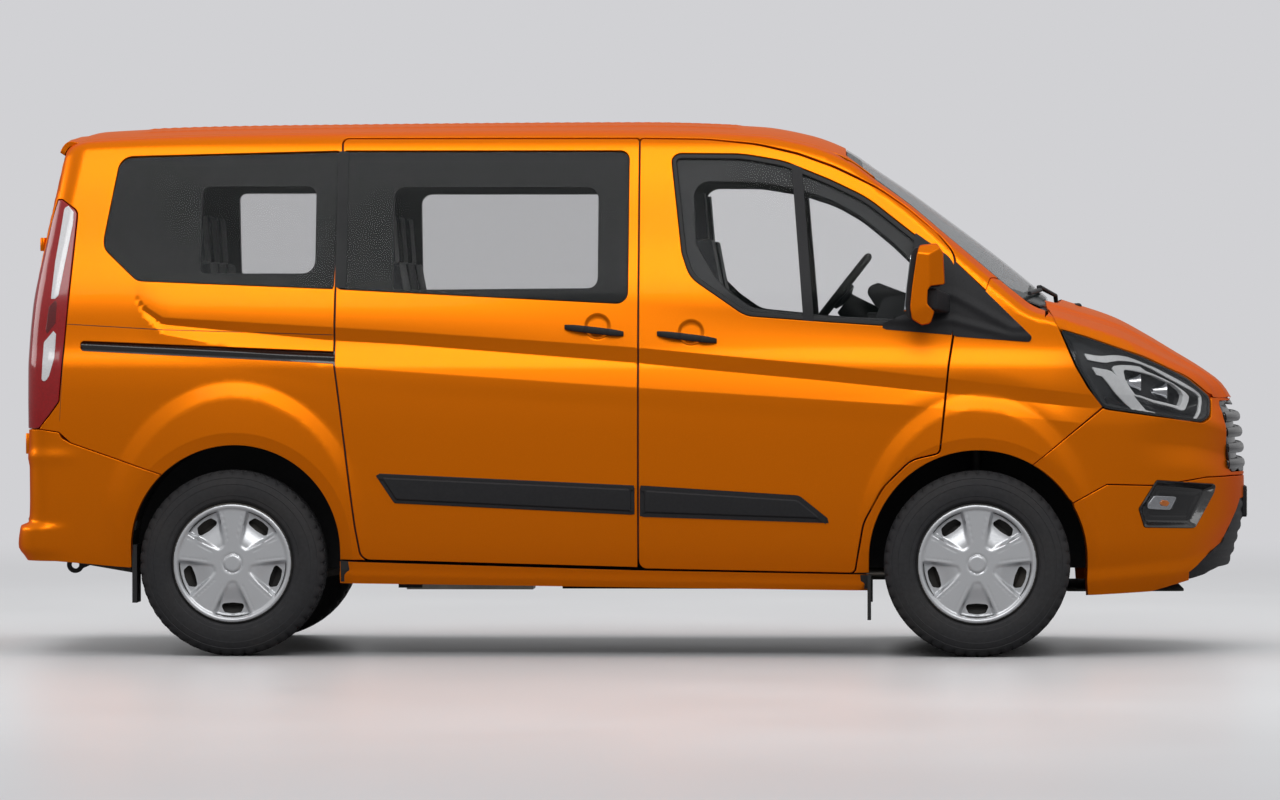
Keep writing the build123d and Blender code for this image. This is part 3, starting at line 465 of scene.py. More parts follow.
def divided(points, step):
    """A closed outline with no run longer than step and no points on each other."""
    out = []
    for i, p in enumerate(points):
        q = points[(i + 1) % len(points)]
        length = math.dist(p, q)
        if length < 1.2:
            continue
        parts = max(1, int(math.ceil(length / step)))
        out.extend((p[0] + (q[0] - p[0]) * k / parts, p[1] + (q[1] - p[1]) * k / parts) for k in range(parts))
    return np.array(out)


def grown(corners, amount):
    """An outline of corners moved outwards."""
    count = len(corners)
    area = sum(corners[i][0] * corners[(i + 1) % count][1] - corners[(i + 1) % count][0] * corners[i][1]
               for i in range(count))
    sign = 1 if area > 0 else -1
    moved = []
    for i, (a, b, radius) in enumerate(corners):
        before, after = corners[i - 1], corners[(i + 1) % count]
        first = math.atan2(b - before[1], a - before[0])
        second = math.atan2(after[1] - b, after[0] - a)
        turn = within_turn(second - first)
        bisector = first + turn / 2 - sign * math.pi / 2
        reach = amount / math.cos(turn / 2)
        convex = turn * sign > 0
        new_radius = 0 if radius < 0.5 else max(1.0, radius + (amount if convex else -amount))
        moved.append((a + reach * math.cos(bisector), b + reach * math.sin(bisector), new_radius))
    return moved


def circle(a, b, radius, step=9.0):
    count = max(16, int(2 * math.pi * radius / step))
    angles = np.arange(count) * 2 * math.pi / count
    return np.stack([a + radius * np.cos(angles), b + radius * np.sin(angles)], 1)


def arch_outline(arch, margin=0.0):
    """A wheel arch in side view, open downwards."""
    x, z, radius = arch
    radius += margin
    angles = np.linspace(0, math.pi, max(24, int(math.pi * radius / 9)))
    points = [(x + radius * math.cos(a), z + radius * math.sin(a)) for a in angles]
    return divided([(x + radius, -100), *points, (x - radius, -100)], 9.0)


def contains(polygon, points):
    """Which points lie in a closed polygon, by the even-odd rule."""
    polygon, points = np.asarray(polygon, float), np.asarray(points, float)
    inside = np.zeros(len(points), bool)
    a, b = polygon, np.roll(polygon, -1, 0)
    for (ax, ay), (bx, by) in zip(a, b):
        if ay == by:
            continue
        crosses = (points[:, 1] > min(ay, by)) & (points[:, 1] <= max(ay, by))
        at = ax + (points[:, 1] - ay) / (by - ay) * (bx - ax)
        inside ^= crosses & (points[:, 0] < at)
    return inside


def triangulate(points, edges):
    """Delaunay triangles that keep the given edges: (points, triangles, index of each input point)."""
    out = delaunay_2d_cdt([Vector(p) for p in points], edges, [], 0, 1e-4)
    place = np.full(len(points), -1)
    for k, sources in enumerate(out[3]):
        for s in sources:
            place[s] = k
    triangles = np.array([tuple(f) for f in out[2]], int).reshape(-1, 3)
    return np.array([tuple(p) for p in out[0]]), triangles, place


def strung(polygons):
    """All the polygons' points in one list, and their sides as pairs of places in it."""
    points, edges = [], []
    for polygon in polygons:
        base = len(points)
        points.extend(polygon)
        edges.extend((base + k, base + (k + 1) % len(polygon)) for k in range(len(polygon)))
    return points, edges


def kept_loops(points, triangles):
    """The loops round some triangles, without slivers."""
    return [points[loop] for loop in boundary(triangles) if abs(area_of(points[loop])) > SLIVER_AREA]


def region(add, cut=()):
    """The loops round what lies in any of add and none of cut, with what is kept on their left."""
    points, triangles, _ = triangulate(*strung((*add, *cut)))
    middle = points[triangles].mean(1)
    keep = np.zeros(len(triangles), bool)
    for polygon in add:
        keep |= contains(polygon, middle)
    for polygon in cut:
        keep &= ~contains(polygon, middle)
    return kept_loops(points, triangles[keep])


def boundary_overlap(first, second):
    """The loops round what lies in both outlines."""
    points, triangles, _ = triangulate(*strung((first, second)))
    middle = points[triangles].mean(1)
    return kept_loops(points, triangles[contains(first, middle) & contains(second, middle)])


def filled(loops, inner):
    """Triangles over what the loops enclose: (points, triangles, places of the loops' points)."""
    flat, edges = strung(loops)
    points, triangles, place = triangulate(np.concatenate([np.array(flat), inner]), edges)
    middle = points[triangles].mean(1)
    keep = np.zeros(len(triangles), bool)
    for loop in loops:
        keep ^= contains(loop, middle)
    return points, triangles[keep], place[:len(flat)]


def boundary(triangles):
    """The loops round some triangles, as places of their points."""
    directed = {(int(t[k]), int(t[(k + 1) % 3])) for t in triangles for k in range(3)}
    border = {}
    for a, b in directed:
        if (b, a) not in directed:
            border.setdefault(a, []).append(b)
    loops = []
    while border:
        start = min(border)
        loop = [start]
        at = border[start].pop()
        if not border[start]:
            del border[start]
        while at != start:
            loop.append(at)
            following = border[at].pop()
            if not border[at]:
                del border[at]
            at = following
        loops.append(loop)
    return loops


def area_of(loop):
    """A loop's area, positive where it runs anticlockwise."""
    loop = np.asarray(loop)
    following = np.roll(loop, -1, 0)
    return 0.5 * np.sum(loop[:, 0] * following[:, 1] - following[:, 0] * loop[:, 1])


def largest(loops):
    return max(loops, key=lambda loop: abs(area_of(loop)))


def large(loops, least=2000.0):
    return [loop for loop in loops if abs(area_of(loop)) > least]


def inset(loop, amount):
    """A loop moved to its left by the amount."""
    before, after = loop - np.roll(loop, 1, 0), np.roll(loop, -1, 0) - loop
    before /= np.linalg.norm(before, axis=1)[:, None]
    after /= np.linalg.norm(after, axis=1)[:, None]
    way = np.stack([-(before + after)[:, 1], (before + after)[:, 0]], 1)
    length = np.linalg.norm(way, axis=1)
    way = way / np.maximum(length, 1e-6)[:, None]
    return loop + way * (amount / np.maximum(length / 2, 0.5))[:, None]


def near_edges(points, loops, distance):
    """Which points lie within a distance of the loops' sides."""
    close = np.zeros(len(points), bool)
    for loop in loops:
        for a, b in zip(loop, np.roll(loop, -1, 0)):
            run = b - a
            t = np.clip(((points - a) @ run) / max(run @ run, 1e-9), 0, 1)
            close |= np.sum((points - a - t[:, None] * run) ** 2, 1) < distance**2
    return close


def arc_marks():
    """Points along the edges of the flares and arch lips."""
    marks = []
    for cx, cz, a, b, _, radius in FLARES:
        angles = np.linspace(0, math.pi, 260)
        lip = radius + LIP_WIDTH
        for reach_x, reach_z in ((lip - 3, lip - 3), (lip + 3, lip + 3), (a, b), (a * 0.985, b * 0.985),
                                 (a * 0.9, b * 0.9)):
            marks.append(np.stack([cx + reach_x * np.cos(angles), cz + reach_z * np.sin(angles)], 1))
    for cx, cz in DISHES:
        for radius in (14, 28, 36, 44, 50, 54):
            angles = np.linspace(0, 2 * math.pi, radius, endpoint=False)
            marks.append(np.stack([cx + radius * np.cos(angles), cz + radius * np.sin(angles)], 1))
    return np.concatenate(marks)


def grid(loops, step, lines=(), marks=None):
    """Grid points inside the loops, clear of their edges, plus points along the feature lines."""
    everything = np.concatenate(loops)
    low, high = everything.min(0), everything.max(0)
    columns = np.arange(low[0] + step / 2, high[0], step)
    rows = np.arange(low[1] + step / 2, high[1], step)
    u, v = np.meshgrid(columns, rows, indexing="ij")
    v = v + np.where(np.arange(len(columns)) % 2, step / 4, -step / 4)[:, None]
    points = np.stack([u.ravel(), v.ravel()], 1)
    for line in lines:
        close = np.abs(points[:, 1] - along(points[:, 0], line)) < step * 0.45
        points = points[~close]
    if marks is not None:
        keep = np.ones(len(points), bool)
        for k in range(0, len(points), 4000):
            some = points[k:k + 4000]
            keep[k:k + 4000] = ((some[:, None] - marks[None]) ** 2).sum(2).min(1) > (step * 0.45) ** 2
        points = points[keep]
    extra = [np.stack([columns, along(columns, line)], 1) for line in lines]
    if marks is not None:
        extra.append(marks)
    if extra:
        points = np.concatenate([points, *extra])
    inside = np.zeros(len(points), bool)
    for loop in loops:
        inside ^= contains(loop, points)
    points = points[inside]
    return points[~near_edges(points, loops, step * 0.55)]


# ---- Meshes ----
def new_object(name, points, faces, normals, finish):
    """A smooth mesh object from millimetre points. normals has one row for each face corner."""
    mesh = bpy.data.meshes.new(name)
    mesh.from_pydata((np.asarray(points) * MM).tolist(), [], [list(map(int, f)) for f in faces])
    mesh.materials.append(finish)
    mesh.polygons.foreach_set("use_smooth", [True] * len(mesh.polygons))
    mesh.normals_split_custom_set(np.asarray(normals).tolist())
    mesh.update()
    obj = bpy.data.objects.new(name, mesh)
    bpy.context.scene.collection.objects.link(obj)
    return obj


def shell(domain, loops, thickness, step=14.0, lift=0.0, hem=3.0, inner_step=60.0, lines=(), lift_map=None,
          marks=None, deep=False):
    """A panel on the body's surface: an outer skin with rounded edges, walls and an inner skin, which follows
    lift_map too where the panel is deep.
    Returns points, faces and one normal for each face corner, in millimetres."""
    rims = [np.array(loop) for loop in loops]
    tops = [inset(loop, hem) for loop in rims]
    mids = [inset(loop, hem * 0.3) for loop in rims]
    uv, triangles, top_index = filled(tops, grid(tops, step, lines, marks))
    rim_count = len(top_index)
    extra = lift_map(uv) if lift_map else 0.0
    surface, normal, _ = domain.place(uv)
    surface = surface + normal * (np.broadcast_to(np.asarray(lift + extra, float), len(uv))[:, None])
    if lift_map:
        normal = mesh_normals(surface, triangles, normal)
    points = [surface]
    faces, corner = [triangles], [normal[triangles]]
    count = len(surface)
    rim_uv = np.concatenate(rims)
    mid_uv = np.concatenate(mids)
    rim_lift = lift_map(rim_uv) if lift_map else 0.0
    rim_p, rim_n, way = domain.place(rim_uv)
    mid_p, mid_n, _ = domain.place(mid_uv)
    rim_p = rim_p + rim_n * np.broadcast_to(np.asarray(lift + rim_lift, float), len(rim_uv))[:, None]
    mid_p = mid_p + mid_n * np.broadcast_to(np.asarray(lift + rim_lift, float), len(rim_uv))[:, None]
    outward = rim_p - surface[top_index]
    outward -= np.sum(outward * rim_n, 1)[:, None] * rim_n
    outward /= np.maximum(np.linalg.norm(outward, axis=1), 1e-9)[:, None]
    mid_p = mid_p - mid_n * hem * 0.3
    mid_normal = unit(mid_n + outward)
    edge_p = rim_p - rim_n * hem
    back_p = rim_p - way * thickness
    points += [mid_p, edge_p, back_p]
    base_mid, base_edge, base_back = count, count + rim_count, count + 2 * rim_count
    pairs = np.array(strung(rims)[1])
    top_normal = normal[top_index]
    rows = [
        (lambda k: top_index[k], top_normal, lambda k: base_mid + k, mid_normal),
        (lambda k: base_mid + k, mid_normal, lambda k: base_edge + k, outward),
        (lambda k: base_edge + k, outward, lambda k: base_back + k, outward),
    ]
    for upper, upper_n, lower, lower_n in rows:
        a, b = pairs[:, 0], pairs[:, 1]
        faces.append(np.stack([upper(a), lower(a), lower(b), upper(b)], 1))
        corner.append(np.stack([upper_n[a], lower_n[a], lower_n[b], upper_n[b]], 1))
    uv, triangles, back_index = filled(rims, grid(rims, inner_step))
    inner_p, inner_n, inner_way = domain.place(uv)
    inner_lift = lift + lift_map(uv) if deep else np.full(len(uv), float(lift))
    inner_p = inner_p + inner_n * inner_lift[:, None] - inner_way * thickness
    back_start = base_back + rim_count
    remap = np.arange(len(uv)) + back_start
    for k in range(rim_count):
        remap[back_index[k]] = base_back + k
    points.append(inner_p)
    faces.append(remap[triangles][:, ::-1])
    corner.append((-inner_n)[triangles][:, ::-1])
    return points_faces(points, faces, corner)


def unit(v):
    return v / np.maximum(np.linalg.norm(v, axis=1), 1e-9)[:, None]


def mesh_normals(points, triangles, like):
    """Area-weighted vertex normals, turned the way the given ones face."""
    a, b, c = (points[triangles[:, k]] for k in range(3))
    flat = np.cross(b - a, c - a)
    out = np.zeros_like(points)
    for k in range(3):
        np.add.at(out, triangles[:, k], flat)
    out = unit(out)
    return out * np.sign(np.sum(out * like, 1))[:, None]


def points_faces(points, faces, corner):
    """Joins the pieces of a mesh and drops points that no face uses."""
    points = np.concatenate(points)
    all_faces = [row for block in faces for row in block.tolist()]
    all_corner = np.concatenate([block.reshape(-1, 3) for block in corner])
    used = np.zeros(len(points), bool)
    for block in faces:
        used[block.ravel()] = True
    new = np.cumsum(used) - 1
    all_faces = [[int(new[k]) for k in f] for f in all_faces]
    return points[used], all_faces, all_corner


def first_corners(faces):
    """Where each face's corners start among all the faces' corners."""
    return np.concatenate([[0], np.cumsum([len(f) for f in faces])[:-1]])


def turned_over(faces, corner):
    """The faces and their corners' normals in the other order."""
    order = np.concatenate([np.arange(s, s + len(f))[::-1] for s, f in zip(first_corners(faces), faces)])
    return [f[::-1] for f in faces], corner[order]


def mirrored(mesh):
    points, faces, corner = mesh
    flip = np.array([1.0, -1.0, 1.0])
    return points * flip, *turned_over(faces, corner * flip)


SAMPLE_FACES = 50


def built(name, mesh, finish):
    """The mesh as an object, with its faces turned outwards as judged by the first few."""
    points, faces, corner = mesh
    a, b, c = (points[[f[k] for f in faces[:SAMPLE_FACES]]] for k in range(3))
    facing = np.cross(b - a, c - a)
    if np.sum(facing * corner[first_corners(faces)[: len(facing)]]) < 0:
        faces, corner = turned_over(faces, corner)
    return new_object(name, points, faces, corner, finish)


# ---- Materials ----
def srgb(r, g, b):
    """A colour from 0-255 values as a linear RGBA."""
    def linear(c):
        c /= 255.0
        return c / 12.92 if c <= 0.04045 else ((c + 0.055) / 1.055) ** 2.4
    return (linear(r), linear(g), linear(b), 1.0)


def material(name, colour, rough, metallic=0.0, coat=0.0, vary=0.06, scale=40.0, rough_vary=0.05, bump=0.0,
             bump_scale=300.0, specular=0.5, sheen=0.0, weave=0.0, alpha=1.0, grime=0.0, brushed=0.0,
             tint=None):
    """A procedural finish: colour and roughness varied by noise, with a fine bump or weave on request."""
    mat = bpy.data.materials.new(name)
    mat.use_nodes = True
    nodes, links = mat.node_tree.nodes, mat.node_tree.links
    shader = nodes["Principled BSDF"]
    place = nodes.new("ShaderNodeTexCoord")
    noise = nodes.new("ShaderNodeTexNoise")
    noise.inputs["Scale"].default_value = scale
    noise.inputs["Detail"].default_value = 6.0
    source = place.outputs["Object"]
    if brushed:
        mapping = nodes.new("ShaderNodeMapping")
        mapping.inputs["Scale"].default_value = (1.0, brushed, 1.0)
        links.new(source, mapping.inputs["Vector"])
        source = mapping.outputs["Vector"]
    links.new(source, noise.inputs["Vector"])
    ramp = nodes.new("ShaderNodeValToRGB")
    dark = tuple(c * (1 - vary) for c in colour[:3]) + (1,)
    light = tuple(min(1.0, c * (1 + vary)) for c in colour[:3]) + (1,)
    for element, position, shade in zip(ramp.color_ramp.elements, (0.3, 0.7), (dark, light)):
        element.position = position
        element.color = shade
    links.new(noise.outputs["Fac"], ramp.inputs["Fac"])
    colour_out = ramp.outputs["Color"]
    if grime:
        spread = nodes.new("ShaderNodeTexNoise")
        spread.inputs["Scale"].default_value = 3.0
        spread.inputs["Detail"].default_value = 8.0
        links.new(place.outputs["Object"], spread.inputs["Vector"])
        mask = nodes.new("ShaderNodeValToRGB")
        mask.color_ramp.elements[0].position = 0.48
        mask.color_ramp.elements[1].position = 0.75
        mask.color_ramp.elements[1].color = (grime, grime, grime, 1)
        links.new(spread.outputs["Fac"], mask.inputs["Fac"])
        mix = nodes.new("ShaderNodeMix")
        mix.data_type = "RGBA"
        links.new(mask.outputs["Color"], mix.inputs["Factor"])
        links.new(colour_out, mix.inputs["A"])
        mix.inputs["B"].default_value = srgb(122, 112, 98)
        colour_out = mix.outputs["Result"]
    links.new(colour_out, shader.inputs["Base Color"])
    spread = nodes.new("ShaderNodeMapRange")
    spread.inputs["To Min"].default_value = max(0.0, rough - rough_vary)
    spread.inputs["To Max"].default_value = min(1.0, rough + rough_vary)
    links.new(noise.outputs["Fac"], spread.inputs["Value"])
    links.new(spread.outputs["Result"], shader.inputs["Roughness"])
    for socket, value in (("Metallic", metallic), ("Specular IOR Level", specular), ("Coat Weight", coat),
                          ("Coat Roughness", 0.04), ("Sheen Weight", sheen), ("Sheen Roughness", 0.5),
                          ("Alpha", alpha)):
        shader.inputs[socket].default_value = value
    if tint:
        shader.inputs["Specular Tint"].default_value = tint
    if bump or weave:
        height = nodes.new("ShaderNodeBump")
        height.inputs["Strength"].default_value = max(bump, weave)
        height.inputs["Distance"].default_value = 0.0006
        if weave:
            waves = []
            for axis in ("X", "Z"):
                wave = nodes.new("ShaderNodeTexWave")
                wave.bands_direction = axis
                wave.inputs["Scale"].default_value = 160.0
                wave.inputs["Distortion"].default_value = 1.2
                links.new(place.outputs["Object"], wave.inputs["Vector"])
                waves.append(wave)
            both = nodes.new("ShaderNodeMath")
            both.operation = "MULTIPLY"
            links.new(waves[0].outputs["Fac"], both.inputs[0])
            links.new(waves[1].outputs["Fac"], both.inputs[1])
            links.new(both.outputs["Value"], height.inputs["Height"])
        else:
            grain = nodes.new("ShaderNodeTexNoise")
            grain.inputs["Scale"].default_value = bump_scale
            grain.inputs["Detail"].default_value = 3.0
            links.new(place.outputs["Object"], grain.inputs["Vector"])
            links.new(grain.outputs["Fac"], height.inputs["Height"])
        links.new(height.outputs["Normal"], shader.inputs["Normal"])
    return mat


PAINT = material("orange_paint", (0.86, 0.195, 0.003, 1.0), 0.34, metallic=0.82, coat=0.05, vary=0.05,
                 scale=700.0, rough_vary=0.04, bump=0.02, bump_scale=1500.0, tint=(1.0, 0.3, 0.02, 1.0))
GLASS_DARK = material("tinted_glass", srgb(20, 26, 27), 0.05, specular=0.25, alpha=0.12, vary=0.02, scale=2.0,
                      rough_vary=0.005)
GLASS_CLEAR = material("clear_glass", srgb(24, 34, 32), 0.05, specular=0.4, alpha=0.06, vary=0.01, scale=2.0,
                       rough_vary=0.005)
GLASS_SCREEN = material("windscreen_glass", srgb(58, 68, 68), 0.06, specular=0.5, alpha=0.3, vary=0.01,
                        scale=2.0, rough_vary=0.005)
FRIT = material("black_glass_border", srgb(36, 37, 38), 0.3, specular=0.12, vary=0.1, scale=15.0,
                rough_vary=0.03)
RUBBER = material("black_rubber", srgb(24, 24, 25), 0.62, vary=0.15, scale=120.0, bump=0.25, bump_scale=500.0)
PLASTIC = material("grained_black_plastic", srgb(40, 40, 42), 0.52, vary=0.1, scale=90.0, bump=0.35,
                   bump_scale=900.0, specular=0.2)
GLOSS_BLACK = material("gloss_black_plastic", srgb(20, 20, 22), 0.22, coat=0.4, vary=0.1, scale=30.0)
TYRE_RUBBER = material("tyre_rubber", srgb(48, 48, 50), 0.68, vary=0.14, scale=60.0, bump=0.3,
                       bump_scale=700.0, specular=0.25, grime=0.06)
SILVER = material("silver_wheel_cover", srgb(205, 207, 210), 0.32, metallic=0.55, coat=0.5, vary=0.04,
                  scale=500.0)
CHROME = material("bright_metal", srgb(214, 216, 220), 0.12, metallic=1.0, vary=0.04, scale=30.0)
STEEL = material("black_coated_steel", srgb(46, 45, 44), 0.55, metallic=0.5, vary=0.3, scale=25.0, bump=0.3,
                 bump_scale=180.0, grime=0.25)
CAST = material("cast_iron", srgb(86, 82, 78), 0.6, metallic=0.75, vary=0.3, scale=35.0, bump=0.5,
                bump_scale=260.0, grime=0.3)
PIPE = material("exhaust_steel", srgb(150, 146, 138), 0.35, metallic=0.9, vary=0.25, scale=14.0, brushed=14.0)
UNDERBODY = material("underbody_coating", srgb(34, 34, 35), 0.8, vary=0.25, scale=22.0, bump=0.7,
                     bump_scale=420.0, grime=0.25)
TRIM = material("grained_trim", srgb(38, 39, 41), 0.6, vary=0.1, scale=80.0, bump=0.35, bump_scale=1000.0)
TRIM_LIGHT = material("pale_trim", srgb(150, 150, 147), 0.7, vary=0.06, scale=60.0, bump=0.3,
                      bump_scale=900.0)
CLOTH = material("seat_cloth", srgb(52, 54, 58), 0.85, vary=0.2, scale=140.0, sheen=0.35, weave=0.5)
GRIP = material("stitched_leather", srgb(26, 26, 28), 0.45, vary=0.12, scale=200.0, bump=0.45,
                bump_scale=650.0)
RED_LENS = material("red_lens", srgb(150, 4, 10), 0.14, coat=0.35, vary=0.12, scale=120.0)
DEEP_RED = material("deep_red_lens", srgb(96, 3, 8), 0.12, coat=0.5, vary=0.2, scale=160.0)
CLEAR_LENS = material("clear_lens", srgb(60, 64, 68), 0.04, coat=1.0, specular=0.6, alpha=0.1, vary=0.01,
                      scale=2.0, rough_vary=0.005)
WHITE_LENS = material("white_lens", srgb(222, 222, 224), 0.12, coat=0.8, vary=0.08, scale=200.0)
AMBER_LENS = material("amber_lens", srgb(222, 120, 20), 0.1, coat=1.0, vary=0.1, scale=90.0)
LAMP_DARK = material("lamp_housing", srgb(40, 42, 45), 0.3, metallic=0.3, coat=0.3, vary=0.15, scale=50.0)
LAMP_SILVER = material("lamp_silver", srgb(232, 234, 236), 0.25, metallic=0.15, coat=0.5, vary=0.05,
                       scale=80.0)
MIRROR_GLASS = material("mirror_glass", srgb(200, 205, 210), 0.03, metallic=1.0, vary=0.02, scale=6.0)


def piece(obj, body, slot=None, *nodes):
    """Attaches a finished piece to the body it rides on and hides the nodes it stands for. slot is not used.
    """
    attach(obj, body)
    if nodes:
        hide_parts(*nodes)
    return obj


# ---- Outlines carried onto the body ----
def side_points(outline, top="cab"):
    """Side-view points (x, z) as points on the left of the body's surface."""
    outline = np.asarray(outline, float).reshape(-1, 2)
    x, z = outline[:, 0], outline[:, 1]
    low, high = np.zeros(len(x)), np.full(len(x), 1200.0)
    for _ in range(26):
        middle = (low + high) / 2
        inside = gap(x, middle, z, top) < 0
        low, high = np.where(inside, middle, low), np.where(inside, high, middle)
    return np.stack([x, low, z], 1)


def top_points(outline, top="cab"):
    """Plan points (x, y) as points on top of the body's surface."""
    outline = np.asarray(outline, float).reshape(-1, 2)
    x, y = outline[:, 0], outline[:, 1]
    low, high = np.full(len(x), 300.0), np.full(len(x), 2300.0)
    for _ in range(26):
        middle = (low + high) / 2
        inside = gap(x, y, middle, top) < 0
        low, high = np.where(inside, middle, low), np.where(inside, high, middle)
    return np.stack([x, y, low], 1)


def rear_points(outline):
    """Rear-view points (y, z) as points on the rear of the body's surface."""
    return REAR.place(outline)[0]


def straight(points, step=9.0):
    """An open line of points with no run longer than step."""
    out = [points[0]]
    for p, q in zip(points, points[1:]):
        parts = max(1, int(math.ceil(math.dist(p, q) / step)))
        out.extend((p[0] + (q[0] - p[0]) * k / parts,
                    p[1] + (q[1] - p[1]) * k / parts) for k in range(1, parts + 1))
    return out


def on(domain, points):
    """Points on the body as the (u, v) of a domain."""
    return domain.find(points)


def side_uv(corners, step=9.0, domain=SIDE, top="cab"):
    """A rounded side-view outline as the (u, v) of a domain."""
    return on(domain, side_points(rounded(corners, step), top))


def both(name, mesh, bodies, slot, nodes, finish):
    """Builds a left piece and its mirror image. bodies and nodes may hold {side}."""
    for side, sign in SIDES:
        made = built(f"{name}_{side}", mesh if sign > 0 else mirrored(mesh), finish)
        piece(made, bodies.format(side=side), slot, *[node.format(side=side) for node in nodes])


def panel(name, domain, loops, thickness, step, finish, slot, body="body", nodes=(), **form):
    """A panel made with shell() and attached to its body by piece()."""
    mesh = shell(domain, loops, thickness, step, **form)
    piece(built(name, mesh, finish), body, slot, *nodes)


def panels(name, domain, loops, thickness, step, finish, slot, body="body", nodes=(), **form):
    """A left panel and its mirror image. body and nodes may hold {side}."""
    both(name, shell(domain, loops, thickness, step, **form), body, slot, nodes, finish)


SCREEN_FOOT, SCREEN_HEAD = np.array([1631.0, 1397.0]), np.array([838.0, 1980.0])
SCREEN_LENGTH = float(np.linalg.norm(SCREEN_HEAD - SCREEN_FOOT))
# Corners of the windscreen. Columns: way up the glass from its foot, y, radius.
SCREEN = [(-4, -560, 300), (-4, 560, 300), (140, 826, 110), (975, 640, 70), (984, 0, 3000), (975, -640, 70),
          (140, -826, 110)]


def screen_plan(margin=0.0):
    """The windscreen's outline in plan, (x, y)."""
    outline = rounded(grown(SCREEN, margin), 14.0)
    share = outline[:, 0] / SCREEN_LENGTH
    return np.stack([SCREEN_FOOT[0] + (SCREEN_HEAD[0] - SCREEN_FOOT[0]) * share, outline[:, 1]], 1)


SEAM = 3.0  # each panel's edge stands back this far from its neighbour's line
DOOR_EDGE = rounded(grown(FRONT_DOOR, 1.0))
SLIDER_EDGE = rounded(grown(SLIDER, 1.0))
DOOR_HOLE = rounded(grown(FRONT_DOOR, 7.0))
SLIDER_HOLE = rounded(grown(SLIDER, 7.0))


def beside(line, way):
    """The line moved sideways, upwards where way is positive."""
    run = np.gradient(np.array(line, float), axis=0)
    run /= np.linalg.norm(run, axis=1, keepdims=True)
    return [(x - way * dz, z + way * dx) for (x, z), (dx, dz) in zip(line, run)]


CREASES = [beside(line, way) for line in (CREASE_TOP, CREASE_LOW, CREASE_END) for way in (3, -3)]
MARKS = arc_marks()
SKIN = 14.0
door_uv = on(SIDE, side_points(DOOR_EDGE))
slider_uv = on(SIDE, side_points(SLIDER_EDGE))
door_hole_uv = on(SIDE, side_points(DOOR_HOLE))
slider_hole_uv = on(SIDE, side_points(SLIDER_HOLE))
front_window_uv = side_uv(FRONT_WINDOW)
slider_window_uv = side_uv(SLIDER_WINDOW)
quarter_window_uv = side_uv(QUARTER_WINDOW)

# Front doors and sliding doors
panels("front_door_skin", SIDE, region([door_uv], [front_window_uv]), SKIN, 13.0, PAINT, "paint",
       body="front_door_{side}", nodes=["front_door_{side}"], lines=CREASES, marks=MARKS)
panels("sliding_door_skin", SIDE, region([slider_uv], [slider_window_uv]), SKIN, 13.0, PAINT, "paint",
       nodes=["sliding_door_{side}"], lines=CREASES, marks=MARKS)

# Body sides
rear_gap_edge = rounded(grown(REAR_DOOR, 7.0))
edge = rear_gap_edge[rear_gap_edge[:, 0] > 500]
edge = edge[np.argsort(edge[:, 1])]
edge = edge[edge[:, 1] > 500]
rear_edge_uv = on(SIDE, rear_points(edge))
roof_seam_uv = on(SIDE, top_points(straight([(-2196, ROOF_EDGE_Y + SEAM), (790, ROOF_EDGE_Y + SEAM)], 12.0)))
screen_edge = screen_plan(6.0)
pillar_edge = screen_edge[(screen_edge[:, 1] > 0) & (screen_edge[:, 0] < 1440) & (screen_edge[:, 0] > 800)
                          & (screen_edge[:, 1] > 600)]
pillar_edge = pillar_edge[np.argsort(pillar_edge[:, 0])]
pillar_uv = on(SIDE, top_points(pillar_edge))
pillar_uv = pillar_uv[pillar_uv[:, 0] > 812]
side_outline = np.concatenate([
    rear_edge_uv,
    roof_seam_uv,
    pillar_uv,
    on(SIDE, side_points([(1421, 1465), (1381, 1414), (1264, 1525), (1200, 1500), (1150, 900), (850, 500),
                          (850, SILL_Z)])),
    [(-1000.0, SILL_Z), (-2300.0, SILL_Z)],
])
side_outline = divided(side_outline, 10.0)
lamp_front = [(-2206, 1768), (-2144, 1723), (-2146, 1685), (-2203, 985), (-2282, 880)]
lamp_rear_uv = on(SIDE, rear_points([(812, 880), (812, 1768)]))
TAIL_CORNERS = [*[(u, v, r) for (u, v), r in zip(on(SIDE, side_points(lamp_front)), (10, 30, 60, 20, 20))],
                *[(u, v, 0) for u, v in lamp_rear_uv]]
tail_uv = rounded(TAIL_CORNERS)
far_u = float(lamp_rear_uv[0, 0]) - 90
tail_hole_uv = divided(rounded(grown(TAIL_CORNERS, 3.0)), 9.0)
BUMPER_LINE = [(-2282, 880, 0), (-2203, 868, 20), (-2155, 826, 20), (-1807, 705, 0)]
bumper_line_uv = on(SIDE, side_points([(x, z) for x, z, _ in BUMPER_LINE]))
bumper_cut = divided([(far_u, 883.0), *bumper_line_uv, (-1760, 600), (-1760, 100), (far_u, 100)], 9.0)
rail_uv = rounded([(-2120, 1220, 14), (-1120, 1178, 0), (-1120, 1132, 0), (-2120, 1182, 14)])
loops = region([side_outline], [
    door_hole_uv, slider_hole_uv, quarter_window_uv, arch_outline(REAR_ARCH), arch_outline(FRONT_ARCH),
    tail_hole_uv, bumper_cut, rail_uv,
])
panels("body_side_skin", SIDE, loops, SKIN, 14.0, PAINT, "paint", nodes=["body_side_{side}"], lines=CREASES,
       marks=MARKS)

